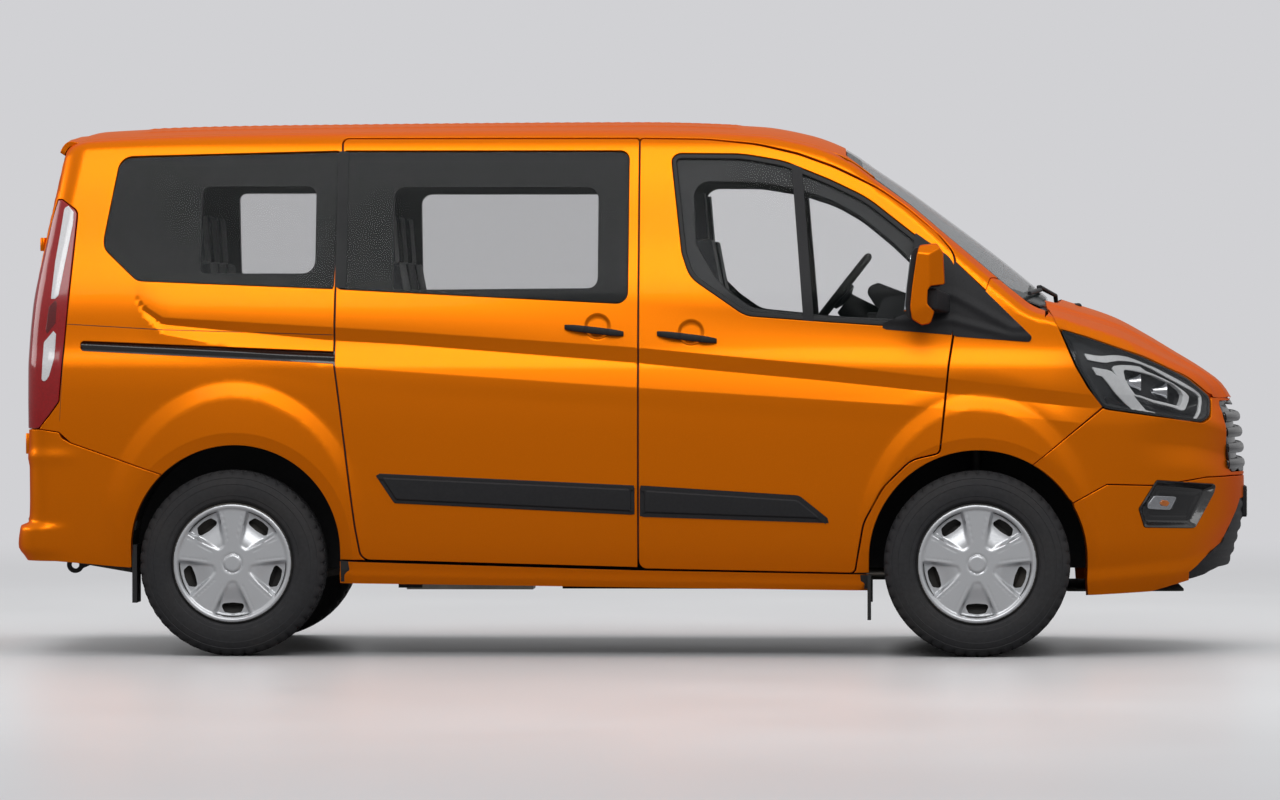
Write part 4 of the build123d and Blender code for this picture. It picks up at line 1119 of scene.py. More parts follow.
# Roof
screen_head = screen_plan(6.0)
head_edge = screen_head[screen_head[:, 0] < 960]
head_edge = head_edge[np.abs(head_edge[:, 1]) < ROOF_EDGE_Y - SEAM]
head_edge = head_edge[np.argsort(head_edge[:, 1])]
rear_of_roof = on(ROOF, rear_points([(y, 1947) for y in (-(ROOF_EDGE_Y - SEAM), ROOF_EDGE_Y - SEAM)]))
roof_outline = np.concatenate([
    [(float(rear_of_roof[0, 0]), -(ROOF_EDGE_Y - SEAM)), (790.0, -(ROOF_EDGE_Y - SEAM))], head_edge,
    [(790.0, ROOF_EDGE_Y - SEAM), (float(rear_of_roof[1, 0]), ROOF_EDGE_Y - SEAM)],
])
roof_outline = divided(roof_outline, 12.0)


def roof_lift(uv):
    """Pressed ribs along the roof and the lip at its rear edge."""
    ribs = np.zeros(len(uv))
    for y in (-500, -250, 0, 250, 500):
        across = smooth_step(1 - np.abs(uv[:, 1] - y) / 22.0)
        ends = smooth_step((uv[:, 0] + 1950) / 60) * smooth_step((450 - uv[:, 0]) / 60)
        ribs = ribs + 5.0 * across * ends
    turned = ROOF_TURN_X - uv[:, 0]
    lip = 24.0 * smooth_step((turned - 40) / 60.0) * smooth_step((190 - turned) / 50.0)
    return ribs + lip


panel("roof_panel", ROOF, [roof_outline], 20.0, 20.0, PAINT, "paint", nodes=["roof"], lift_map=roof_lift)

# Rear doors
rear_uv = rounded(grown(REAR_DOOR, 1.0))
rear_window_uv = rounded(REAR_WINDOW)


def rear_lift(uv):
    """The number-plate recess and the crease across the rear doors."""
    y, z = uv[:, 0], uv[:, 1]
    recess = smooth_step((z - 890) / 18) * smooth_step((1050 - z) / 18) * smooth_step((y - 60) / 18)
    recess *= smooth_step((650 - y) / 18)
    band = smooth_step((1200 - np.abs(z - 1130) * 8) / 300)
    return -20.0 * recess + 3.0 * band


panels("rear_door_skin", REAR, region([rear_uv], [rear_window_uv]), SKIN, 16.0, PAINT, "paint",
       body="rear_door_{side}", nodes=["rear_door_{side}"], lift_map=rear_lift)

# Tail lamps
panels("tail_lamp", SIDE, region([tail_uv]), 40.0, 12.0, RED_LENS, "lamp_red", nodes=["tail_lamps"], lift=2.0,
       hem=5.0)


# ---- Nose: wings, bonnet, headlamps, grille and bumper ----
screen_low = screen_plan(6.0)
screen_low = screen_low[(screen_low[:, 1] > 811) & (screen_low[:, 0] > 1436) & (screen_low[:, 0] < 1560)]
screen_low = screen_low[np.argsort(-screen_low[:, 0])]
wing_inner = np.concatenate([[(1612.0, 809.0), (1575.0, 809.0)], screen_low, [(1436.0, 810.0)]])
wing_outline = np.concatenate([
    on(WING_SIDE, side_points([(800, 323), (1100, 1000), (1150, 1250), (1200, 1500), (1264, 1522),
                               (1378, 1411), (1418, 1462)], EITHER)),
    on(WING_SIDE, top_points(wing_inner, EITHER))[::-1],
    on(WING_SIDE, side_points(straight([(1609, 1372), (1659, 1273), (1725, 1121), (1772, 1040), (1829, 966),
                                        (1562, 744), (1540, 700)], 20.0), EITHER)),
    on(WING_SIDE, side_points([(1400, 323)], EITHER)),
])
wing_outline = divided(wing_outline, 9.0)
wing_door_hole = on(WING_SIDE, side_points(DOOR_HOLE, EITHER))
loops = large(region([wing_outline], [wing_door_hole, arch_outline(FRONT_ARCH)]), 3000.0)
panels("front_wing", WING_SIDE, loops, SKIN, 12.0, PAINT, "paint", nodes=["front_wings"], lines=CREASES,
       marks=MARKS)

headlamp_uv = side_uv(HEADLAMP, domain=NOSE, top="nose")
bonnet_side = rounded([*[(x, z + 3, r) for x, z, r in BONNET_SEAM[:-1]], (2300, 1015, 0), (2300, 1400, 0),
                       (1612, 1400, 0)])
bonnet_side = bonnet_side[(bonnet_side[:, 1] < 1376) & (bonnet_side[:, 0] < 2264)]
bonnet_side = bonnet_side[np.argsort(bonnet_side[:, 0])]
seam_points = side_points(bonnet_side, "nose")
front_run = [(NOSE_MIDDLE - f, 1006.0 - 12.0 * (1 - f / 600.0)) for f in np.linspace(560, 0, 40)]
front_edge = NOSE.place(front_run)[0]
front_edge = front_edge[front_edge[:, 1] < seam_points[-1, 1] - 4]
half = np.concatenate([seam_points, front_edge])
half = on(BONNET, half)
rear_edge = np.array([(1614 + 78 * (1 - (y / 900.0) ** 2), y) for y in np.arange(0, 868, 12.0)])
rear_edge = rear_edge[rear_edge[:, 1] < half[0, 1] - 3]
rear_uv = on(BONNET, top_points(rear_edge, "nose"))
left_half = np.concatenate([rear_uv, half])
bonnet_outline = np.concatenate([left_half, (left_half * (1, -1))[::-1][1:-1]])
bonnet_outline = divided(bonnet_outline, 9.0)


def bonnet_lift(uv):
    """The raised middle of the bonnet, with a crease along each side of it."""
    edge = 640.0 - (uv[:, 0] - 1650.0) * 0.34
    across = np.abs(uv[:, 1])
    middle = 7.0 * smooth_step((edge - across) / 45.0)
    return middle - 4.0 * smooth_step(1 - np.abs(across - edge - 60) / 60.0)


panel("bonnet_panel", BONNET, [bonnet_outline], 22.0, 14.0, PAINT, "paint", body="bonnet", nodes=["bonnet"],
      lift_map=bonnet_lift)

# Bumper: an upper part beside the grille and lamps, and a lower part with the fog lamps
RIGHT = 2 * NOSE_MIDDLE


def other_side(uv):
    """The mirror image of (u, v) points round the nose or the tail."""
    return np.stack([RIGHT - uv[:, 0], uv[:, 1]], 1)


def nose_pair(points):
    """A left run of (u, v) closed by its mirror image."""
    points = np.asarray(points, float)
    return np.concatenate([points, other_side(points)[::-1]])


def nose_uv(points):
    return on(NOSE, side_points(points, "nose"))


def front_uv(points):
    """Front-view points (y, z) as the nose's (u, v)."""
    out = []
    for y, z in points:
        u = np.linspace(NOSE_SPAN * 0.3, NOSE_MIDDLE, 400)
        p = NOSE.place(np.stack([u, np.full_like(u, z)], 1))[0]
        out.append((np.interp(-y, -p[:, 1], u), z))
    return np.array(out)


SPLIT = [(1717, 596), (1847, 667), (2047, 661)]
bonnet_front = on(NOSE, front_edge)
upper = np.concatenate([
    nose_uv(straight([(1717, 596), (1562, 742), (1836, 964), (1958, 940), (2222, 900), (2258, 925),
                      (2262, 1000)], 20.0)),
    bonnet_front[bonnet_front[:, 0] < NOSE_MIDDLE - 4] - (0, 7),
    [(NOSE_MIDDLE, bonnet_front[-1, 1] - 7)],
])
lower_edge = np.concatenate([nose_uv(straight([*SPLIT, (2240, 690)], 20.0)),
                             front_uv([(500, 692), (250, 690)]), [(NOSE_MIDDLE, 690.0)]])
upper_outline = np.concatenate([nose_pair(upper), nose_pair(lower_edge + (0, 2))[::-1]])
grille_left = front_uv([(545, 935), (520, 700)])
grille_outline = rounded([
    (grille_left[0, 0], 985.0, 25), (NOSE_MIDDLE, 988.0, 0), (RIGHT - grille_left[0, 0], 985.0, 25),
    (RIGHT - grille_left[0, 0] + 10, 860.0, 20), (RIGHT - grille_left[1, 0], 708.0, 30),
    (NOSE_MIDDLE, 702.0, 0), (grille_left[1, 0], 708.0, 30), (grille_left[0, 0] - 10, 860.0, 20),
])
headlamp_hole = side_uv(grown(HEADLAMP, 4.0), domain=NOSE, top="nose")
headlamp_mirror = other_side(headlamp_hole)
nose_arch = nose_uv(arch_outline(FRONT_ARCH)[arch_outline(FRONT_ARCH)[:, 0] > NOSE_START + 2])
nose_arch = np.concatenate([nose_arch, [(-200.0, nose_arch[-1, 1]), (-200.0, -50.0)]])
nose_arch_mirror = other_side(nose_arch)


def nose_lift(uv):
    """The shoulder under the lamps and the valley below it, running to the grille."""
    u, z = uv[:, 0], uv[:, 1]
    way = np.minimum(u, RIGHT - u)
    forward = smooth_step((way - 420.0) / 260.0) * smooth_step((NOSE_MIDDLE - 480 - way) / 160.0 + 1)
    ridge = along(way, [(300, 930), (700, 905), (1000, 845), (1150, 800)])
    valley = ridge - 85.0
    shape = np.where(z > ridge, 10 * smooth_step(1 - (z - ridge) / 60.0),
                     np.where(z > valley, 10 - 22 * (ridge - z) / 85.0,
                              -12 * smooth_step(1 - (valley - z) / 110.0)))
    return np.minimum(shape * forward, 8.0)


FOG = [(1971, 572, 10), (2041, 682, 12), (2279, 662, 12), (2268, 626, 16), (2193, 494, 16), (1993, 500, 10)]
fog_uv = nose_uv(rounded(FOG))
fog_mirror = other_side(fog_uv)
loops = large(region([divided(upper_outline, 10.0)],
               [grille_outline, headlamp_hole, headlamp_mirror, nose_arch, nose_arch_mirror, fog_uv,
                fog_mirror]))
panel("front_bumper_upper", NOSE, loops, 16.0, 14.0, PAINT, "paint", nodes=["front_bumper"],
      lift_map=nose_lift)
bottom = np.concatenate([nose_uv(straight([(1775, 238), (2023, 250), (2171, 290)], 20.0)),
                         [(980.0, 330.0), (NOSE_MIDDLE, 340.0)]])
lower_outline = np.concatenate([nose_pair(lower_edge - (0, 2)), nose_pair(bottom)[::-1]])
VALANCE = [(2169, 100), (2171, 322), (2310, 430), (2356, 535)]
valance_top = np.concatenate([nose_uv(straight(VALANCE, 20.0)), front_uv([(420, 575), (380, 600)]),
                              [(NOSE_MIDDLE, 604.0)]])
valance_cut = np.concatenate([nose_pair(valance_top),
                              [(RIGHT - valance_top[0, 0], -60.0), (valance_top[0, 0], -60.0)]])
valance_cut = divided(valance_cut, 10.0)
lower_outline = divided(lower_outline, 10.0)


def lower_lift(uv):
    """The lit ledge round the foot of the bumper."""
    u, z = uv[:, 0], uv[:, 1]
    way = np.minimum(u, RIGHT - u)
    ledge = along(way, [(300, 330), (700, 365), (1000, 430), (1200, 520)])
    return np.where(z > ledge, -7 * smooth_step(1 - (z - ledge) / 120.0),
                    -7 + 12 * np.clip((ledge - z) / 34.0, 0, 1))


loops = large(region([lower_outline], [valance_cut, nose_arch, nose_arch_mirror, fog_uv, fog_mirror]))
panel("front_bumper_lower", NOSE, loops, 16.0, 14.0, PAINT, "paint", lift_map=lower_lift)
loops = boundary_overlap(lower_outline, valance_cut)


def valance_lift(uv):
    """Shallow ribs across the valance."""
    return -6.0 + 6.0 * smooth_step(np.abs(((uv[:, 1] - 300) / 46.0) % 1 - 0.5) * 4 - 0.5)


panel("front_valance_skin", NOSE, loops, 16.0, 12.0, PLASTIC, "dark_plastic", nodes=["front_valance"],
      lift_map=valance_lift)

# Grille: a dark back with rounded bars
grille_back = shell(NOSE, [grille_outline], 10.0, 24.0, lift=-26.0)
grille_obj = built("grille_back", grille_back, GLOSS_BLACK)
piece(grille_obj, "body", "grille_black", "grille")
for k, z in enumerate((738, 800, 862, 924)):
    reach = grille_left[0, 0] + 14
    bar = rounded([(reach, z + 17, 14), (RIGHT - reach, z + 17, 14), (RIGHT - reach, z - 17, 14),
                   (reach, z - 17, 14)])

    def bar_lift(uv, z=z):
        return 10.0 * np.sqrt(np.clip(1 - ((uv[:, 1] - z) / 18.0) ** 2, 0, 1))

    panel(f"grille_bar_{k}", NOSE, [bar], 22.0, 9.0, GLOSS_BLACK, "grille_black", lift=-4.0, hem=3.0,
          lift_map=bar_lift)


# ---- Glass, seals and linings ----
def ring_loops(outline, width):
    """The band between an outline and the same outline moved in by the width."""
    outer = region([outline], [])[0]
    return [outer, inset(outer, width)[::-1]]


def band(domain, outline, width, thickness, lift, hem=2.0):
    outer, inner = ring_loops(outline, width)
    return shell(domain, region([outer], [inner[::-1]]), thickness, 14.0, lift=lift, hem=hem)


def shrunk(outline, amount):
    """An outline's largest loop, moved in by the amount."""
    return inset(largest(region([outline], [])), amount)


for name, outline in (("sliding_door_glass", slider_window_uv), ("quarter_glass", quarter_window_uv)):
    panels(name, SIDE, [shrunk(outline, 2.5)], 4.5, 30.0, GLASS_DARK, "window", nodes=["side_windows"],
           lift=-2.0, hem=1.5)
front_pane = shrunk(front_window_uv, 14.0)
panels("front_door_pane", SIDE, [front_pane], 4.5, 24.0, GLASS_CLEAR, "window", body="front_door_{side}",
       nodes=["front_door_glass_{side}"], lift=-5.0, hem=1.0)
both("front_door_seal", band(SIDE, shrunk(front_window_uv, 0.5), 19.0, 16.0, -1.5, 5.0), "front_door_{side}",
     "dark_plastic", [], RUBBER)
post = rounded([(630, 1925, 0), (664, 1918, 0), (716, 1284, 0), (680, 1289, 0)])
panels("front_window_post", SIDE, [on(SIDE, side_points(post))], 16.0, 16.0, PLASTIC, "dark_plastic",
       body="front_door_{side}", lift=-1.0, hem=3.0)

# Doors and sides are lined on the inside, with an opening at each window.
DOOR_IN = side_uv(grown(FRONT_DOOR, -20.0))
SLIDER_IN = side_uv(grown(SLIDER, -20.0))
SLIDER_VIEW = side_uv([(-119, 1818, 45), (-119, 1426, 40), (-912, 1419, 20), (-912, 1818, 45)])
QUARTER_VIEW = side_uv([(-1215, 1821, 35), (-1215, 1483, 50), (-1660, 1483, 20), (-1660, 1821, 30)])
FRONT_VIEW = side_uv([
    (250, 1840, 60), (487, 1839, 500), (653, 1810, 400), (787, 1767, 400), (897, 1704, 400),
    (1023, 1601, 300), (1128, 1500, 60), (1180, 1300, 20), (780, 1318, 300), (480, 1349, 100),
    (393, 1412, 100), (338, 1467, 80), (262, 1600, 60),
])
panels("front_door_lining", SIDE, region([DOOR_IN], [FRONT_VIEW]), 46.0, 40.0, TRIM, "trim",
       body="front_door_{side}", lift=-15.0, hem=6.0)
panels("sliding_door_lining", SIDE, region([SLIDER_IN], [SLIDER_VIEW]), 46.0, 40.0, TRIM, "trim", lift=-15.0,
       hem=6.0)
frame_cuts = [
    side_uv(grown(FRONT_DOOR, -8.0)), side_uv(grown(SLIDER, -8.0)), QUARTER_VIEW,
    arch_outline(REAR_ARCH, 2.0), arch_outline(FRONT_ARCH, 2.0), tail_hole_uv, bumper_cut,
]
loops = large(region([side_outline], frame_cuts))
panels("body_side_lining", SIDE, loops, 46.0, 40.0, TRIM, "trim", lift=-15.0, hem=3.0)

# Windscreen
screen_uv = screen_plan(-1.0)
both_edge = region([screen_uv], [])[0]
SCREEN_TOP = Domain(
    lambda u, v: (np.stack([u, v, cab_height(u) - 260], 1), np.stack([0 * u, 0 * u, np.ones_like(u)], 1)),
    lambda p: np.asarray(p, float)[:, :2], "cab", 400.0)
panel("windscreen_glass", SCREEN_TOP, [both_edge], 6.0, 30.0, GLASS_SCREEN, "window", nodes=["windscreen"],
      lift=-3.0, hem=1.5)
outer = inset(both_edge, 1.0)
panel("windscreen_border", SCREEN_TOP, region([outer], [inset(both_edge, 62.0)]), 2.0, 16.0, FRIT, "window",
      lift=-10.0, hem=0.5)
# Rear door glass
panels("rear_door_pane", REAR, [shrunk(rear_window_uv, 2.5)], 4.5, 30.0, GLASS_DARK, "window",
       body="rear_door_{side}", nodes=["rear_door_glass_{side}"], lift=-2.0, hem=1.5)
panels("rear_door_lining", REAR, region([rounded(grown(REAR_DOOR, -24.0))], [shrunk(rear_window_uv, 30.0)]),
       40.0, 40.0, TRIM, "trim", body="rear_door_{side}", lift=-17.0, hem=6.0)

# ---- Sills, strips, rail and handles ----
SILL = [(-1113, 365, 0), (-1030, 362, 0), (43, 331, 0), (924, 316, 0), (924, 262, 0), (-1113, 288, 0)]


def sill_lift(uv):
    middle = along(uv[:, 0], [(-1113, 330), (924, 292)])
    return 3.0 + 5.0 * np.clip((middle - uv[:, 1]) / 6.0, 0, 1)


panels("sill_cover", SIDE, [rounded(SILL)], 10.0, 12.0, PAINT, "paint", hem=3.0, lift_map=sill_lift)
STRIPS = [
    ("sliding_door", "body", [(26, 663, 3), (-980, 709, 6), (-903, 593, 16), (26, 549, 3)]),
    ("front_door", "front_door_{side}", [(49, 660, 3), (660, 622, 40), (786, 521, 5), (49, 545, 3)]),
]
for name, body, outline in STRIPS:
    uv = rounded(outline)
    panels(name + "_strip_base", SIDE, [uv], 14.0, 16.0, PLASTIC, "dark_plastic", body=body, lift=6.0,
           hem=3.0)
    panels(name + "_strip", SIDE, [shrunk(uv, 13.0)], 14.0, 16.0, PLASTIC, "dark_plastic", body=body,
           lift=12.0, hem=8.0)


def rail_lift(uv):
    middle = along(uv[:, 0], [(-2120, 1201), (-1134, 1155)])
    return -14.0 + 9.0 * smooth_step(1 - np.abs(uv[:, 1] - middle - 4) / 9.0)


panels("sliding_door_rail", SIDE,
       [rounded([(-2124, 1223, 16), (-1114, 1181, 0), (-1114, 1129, 0), (-2124, 1179, 16)])], 10.0, 8.0,
       GLOSS_BLACK, "dark_plastic", hem=2.0, lift_map=rail_lift)
HANDLES = [("sliding_door", "body", (-245, 1274), (-17, 1248)),
           ("front_door", "front_door_{side}", (112, 1249), (343, 1221))]


def loft(sections):
    """Quads through rings of points of one count, with fans of faces at the ends."""
    sections = [np.asarray(s, float) for s in sections]
    n = len(sections[0])
    points = np.concatenate(sections)
    faces = []
    for k in range(len(sections) - 1):
        for j in range(n):
            a, b = k * n + j, k * n + (j + 1) % n
            faces.append([a, b, b + n, a + n])
    faces.append(list(range(n))[::-1])
    faces.append([(len(sections) - 1) * n + j for j in range(n)])
    return points, faces


def solid(name, points, faces, finish, bevel=0.0, flat_angle=40.0):
    """A mesh object in millimetres, with bevelled edges. Those sharper than flat_angle stay sharp."""
    mesh = bpy.data.meshes.new(name)
    mesh.from_pydata((np.asarray(points) * MM).tolist(), [], [list(map(int, f)) for f in faces])
    mesh.materials.append(finish)
    bm = bmesh.new()
    bm.from_mesh(mesh)
    bmesh.ops.remove_doubles(bm, verts=bm.verts, dist=1e-6)
    bmesh.ops.recalc_face_normals(bm, faces=bm.faces)
    bm.to_mesh(mesh)
    bm.free()
    obj = bpy.data.objects.new(name, mesh)
    bpy.context.scene.collection.objects.link(obj)
    if bevel:
        modifier = obj.modifiers.new("bevel", "BEVEL")
        modifier.width = bevel * MM
        modifier.segments = 3
        modifier.limit_method = "ANGLE"
        evaluated = obj.evaluated_get(bpy.context.evaluated_depsgraph_get())
        mesh = bpy.data.meshes.new_from_object(evaluated)
        obj.modifiers.clear()
        old = obj.data
        obj.data = mesh
        bpy.data.meshes.remove(old)
    obj.data.polygons.foreach_set("use_smooth", [True] * len(obj.data.polygons))
    obj.data.set_sharp_from_angle(angle=math.radians(flat_angle))
    return obj


def pair_of(name, points, faces, body, slot, nodes, finish, **options):
    """A left piece made with solid() and its mirror image."""
    for side, sign in SIDES:
        placed = np.asarray(points, float) * (1.0, sign, 1.0)
        obj = solid(f"{name}_{side}", placed, faces, finish, **options)
        piece(obj, body.format(side=side), slot, *[node.format(side=side) for node in nodes])


for name, body, start, end in HANDLES:
    sections = []
    for t in np.linspace(0, 1, 25):
        x, z = start[0] + (end[0] - start[0]) * t, start[1] + (end[1] - start[1]) * t
        y = side_points([(x, z)])[0, 1]
        stand = 8 + 30 * math.sin(math.pi * min(max(t * 1.02, 0.0), 1.0)) ** 0.45
        tall = 13.5 * (1 - 0.35 * abs(2 * t - 1) ** 4)
        deep = 8.5 * (1 - 0.3 * abs(2 * t - 1) ** 4)
        angles = np.arange(16) * 2 * math.pi / 16
        cosines, sines = np.cos(angles), np.sin(angles)
        square = 1 / (np.abs(cosines) ** 3 + np.abs(sines) ** 3) ** (1 / 3)
        sections.append(np.stack([np.full(16, x), y + stand * 0.72 + deep * cosines * square,
                                  z + tall * sines * square], 1))
    points, faces = loft(sections)
    pair_of(name + "_handle", points, faces, body, "dark_plastic", [], PLASTIC, bevel=2.0)

# Sail: the black corner ahead of the front door's glass, in one half on the door and one on the wing
SAIL_WING = [(1256, 1528, 4), (1557, 1232, 12), (1545, 1219, 10), (1256, 1241, 4)]


def sail_lift(uv):
    """Two folds pressed along the sail."""
    high = along(uv[:, 0], [(1251, 1400), (1480, 1270)])
    low = along(uv[:, 0], [(1251, 1300), (1480, 1238)])
    upper_fold = 7.0 * smooth_step(1 - np.abs(uv[:, 1] - high) / 30.0)
    lower_fold = 6.0 * smooth_step(1 - np.abs(uv[:, 1] - low) / 22.0)
    return 4.0 + upper_fold + lower_fold


sail_uv = side_uv(SAIL_WING, domain=WING_SIDE, top=EITHER)
panels("wing_sail", WING_SIDE, [sail_uv], 8.0, 10.0, PLASTIC, "dark_plastic", hem=3.0, lift_map=sail_lift)
SAIL_DOOR = [(1106, 1636, 3), (1166, 1594, 4), (1232, 1546, 30), (1252, 1520, 4), (1250, 1246, 4),
             (985, 1268, 4), (985, 1284, 4), (1062, 1318, 10), (1100, 1334, 30), (1104, 1560, 30)]
door_sail_uv = side_uv(SAIL_DOOR)
panels("door_sail", SIDE, [door_sail_uv], 12.0, 10.0, PLASTIC, "dark_plastic", body="front_door_{side}",
       hem=3.0, lift_map=lambda uv: sail_lift(uv) - 1.5)

# ---- Rear bumper ----
REAR_CENTRE_X = -1760.0


def rear_wrap_rays(u, v):
    phi = u / NOSE_SPAN
    return (np.stack([np.full_like(u, REAR_CENTRE_X), np.zeros_like(u), v], 1),
            np.stack([-np.sin(phi), np.cos(phi), np.zeros_like(u)], 1))


REAR_WRAP = Domain(rear_wrap_rays, lambda p: np.stack(
    [np.arctan2(REAR_CENTRE_X - np.asarray(p)[:, 0], np.asarray(p)[:, 1]) * NOSE_SPAN, np.asarray(p)[:, 2]],
    1), None, 1300.0)
top_run = on(REAR_WRAP, side_points(straight([(-1807, 702), (-2155, 823), (-2190, 843), (-2203, 865),
                                              (-2280, 877)], 20.0)))
door_corner = on(REAR_WRAP, rear_points([(808, 877), (808, 521)]))
bottom_run = on(REAR_WRAP, side_points([(-1810, 332), (-1945, 341), (-2225, 366)], None))
bumper_left = np.concatenate([top_run, door_corner])
rear_outline = np.concatenate([nose_pair(bumper_left), nose_pair(np.concatenate([
    bottom_run, [(1040.0, 374.0), (NOSE_MIDDLE, 378.0)]]))[::-1]])
rear_arch = arch_outline(REAR_ARCH)
rear_arch = rear_arch[(rear_arch[:, 0] < REAR_CENTRE_X - 4) & (rear_arch[:, 1] > 150)]
rear_arch_uv = on(REAR_WRAP, side_points(rear_arch))
rear_arch_uv = np.concatenate([rear_arch_uv,
                               [(rear_arch_uv[-1, 0], 80.0), (-300.0, 80.0), (-300.0, rear_arch_uv[0, 1])]])
rear_arch_other = other_side(rear_arch_uv)


def rear_bumper_lift(uv):
    """The step across the back, fading out along the sides."""
    way = np.minimum(uv[:, 0], RIGHT - uv[:, 0])
    across = smooth_step((way - 330) / 190.0)
    z = uv[:, 1]
    step_out = smooth_step((514 - z) / 16.0) * smooth_step((z - 366) / 60.0)
    crease = 6.0 * smooth_step(1 - np.abs(z - 770) / 40.0)
    crease = crease * smooth_step((way - 300) / 100) * smooth_step((760 - way) / 100)
    return 29.0 * across * step_out + crease


loops = large(region([divided(rear_outline, 11.0)], [rear_arch_uv, rear_arch_other]))
panel("rear_bumper_skin", REAR_WRAP, loops, 16.0, 15.0, PAINT, "paint", nodes=["rear_bumper"],
      lift_map=rear_bumper_lift)


# ---- Wheels and tyres ----
def lathe(profile, segments, centre=(0.0, 0.0, 0.0), sign=1, wave=None):
    """Quads turned about a wheel's axis. profile's columns are radius and y from its middle."""
    profile = np.asarray(profile, float)
    count = len(profile)
    rings = []
    for k in range(segments):
        angle = 2 * math.pi * k / segments
        radius, y = profile[:, 0], profile[:, 1]
        if wave is not None:
            radius = radius + wave(k, profile)
        rings.append(np.stack([centre[0] + radius * math.cos(angle), centre[1] + y * sign,
                               centre[2] + radius * math.sin(angle)], 1))
    points = np.concatenate(rings)
    faces = []
    for k in range(segments):
        for j in range(count):
            a, b = k * count + j, k * count + (j + 1) % count
            c, d = ((k + 1) % segments) * count + (j + 1) % count, ((k + 1) % segments) * count + j
            faces.append([a, b, c, d])
    return points, faces


TREAD_GROOVES = (-62.0, -22.0, 22.0, 62.0)
TREAD_SEGMENTS = 192


def tyre_profile():
    """Radius and y round a tyre's section: tread with four grooves, shoulders, ribbed side walls and bead."""
    tread = []
    for groove in TREAD_GROOVES:
        tread += [(360.0, groove - 5.5), (352.0, groove - 3.5), (352.0, groove + 3.5), (360.0, groove + 5.5)]
    right = [(358.5, 84.0), (354.0, 92.0), (347.0, 98.0), (338.0, 103.0), (331.0, 106.0), (329.0, 105.0),
             (322.0, 108.5), (306.0, 111.8), (304.5, 110.4), (292.0, 112.0), (276.0, 111.6), (262.0, 109.6),
             (260.0, 108.0), (247.0, 105.6), (243.0, 102.5), (238.0, 98.0), (236.0, 92.0), (222.0, 90.0),
             (222.0, 78.0), (262.0, 92.0), (318.0, 90.0), (340.0, 60.0)]
    left = [(r, -y) for r, y in reversed(right)]
    return [*tread, *right, *left]


TYRE_PROFILE = tyre_profile()


def tread_wave(k, profile):
    """Sipes across the tread and the shoulders, one every few segments."""
    radius, y = profile[:, 0], np.abs(profile[:, 1])
    cut = np.zeros(len(profile))
    if k % 4 == 0:
        cut = np.where((radius > 345) & (y > 66), -7.0, cut)
        cut = np.where((radius > 355) & (y < 18), -5.0, cut)
    if k % 4 == 2:
        cut = np.where((radius > 355) & (y > 25) & (y < 60), -5.0, cut)
    return cut


COVER_RADIUS = 231.0
COVER_FACE = 95.0  # y of the cover's face from the wheel's middle


def cover_mesh():
    """The wheel cover's face, a disc with five broad spokes and five pockets, each with a slot through."""
    slots = []
    for k in range(5):
        turn = math.radians(126 + 72 * k)
        corner = [(157, -40, 13), (168, -44, 14), (191, -33, 12), (196, 0, 60), (191, 33, 12), (168, 44, 14),
                  (157, 40, 13), (153, 0, 60)]
        slots.append(np.array([(r * math.cos(turn) - a * math.sin(turn),
                                r * math.sin(turn) + a * math.cos(turn))
                               for r, a in rounded(corner, 5.0)]))
    loops = region([circle(0, 0, COVER_RADIUS, 7.0)], slots)
    uv, triangles, _ = filled(loops, grid(loops, 5.0))
    return uv, triangles


def cover_height(uv):
    """How far out the wheel cover stands, with its pockets, grooves, hub and rim."""
    radius = np.hypot(uv[:, 0], uv[:, 1])
    angle = np.degrees(np.arctan2(uv[:, 1], uv[:, 0]))
    off = (angle - 90 - 36) % 72
    off = np.radians(np.minimum(off, 72 - off))
    down, across = radius * np.cos(off), radius * np.sin(off)
    face = COVER_FACE + 9.0 * smooth_step((radius - 206) / 12.0)
    half = 18.0 + 60.0 * np.clip((down - 70) / 128.0, 0, 1) ** 0.9
    wall = smooth_step((half - across) / 15.0)
    inner_end = smooth_step((down - 66) / 13.0)
    outer_end = smooth_step((213 - radius) / 12.0)
    deep = 5.0 + 21.0 * smooth_step((down - 80) / 80.0)
    pocket = wall * inner_end * outer_end * deep
    groove = 1.8 * smooth_step(1 - np.abs(across - half - 12.0) / 2.8) * smooth_step((down - 78) / 10)
    groove = groove * smooth_step((206 - radius) / 8)
    hub = 4.5 * smooth_step((34 - radius) / 5.0) - 3.0 * smooth_step(1 - np.abs(radius - 37) / 5.0)
    rim = -7.0 * smooth_step((radius - 225) / 6.0)
    return face - pocket - groove + hub + rim


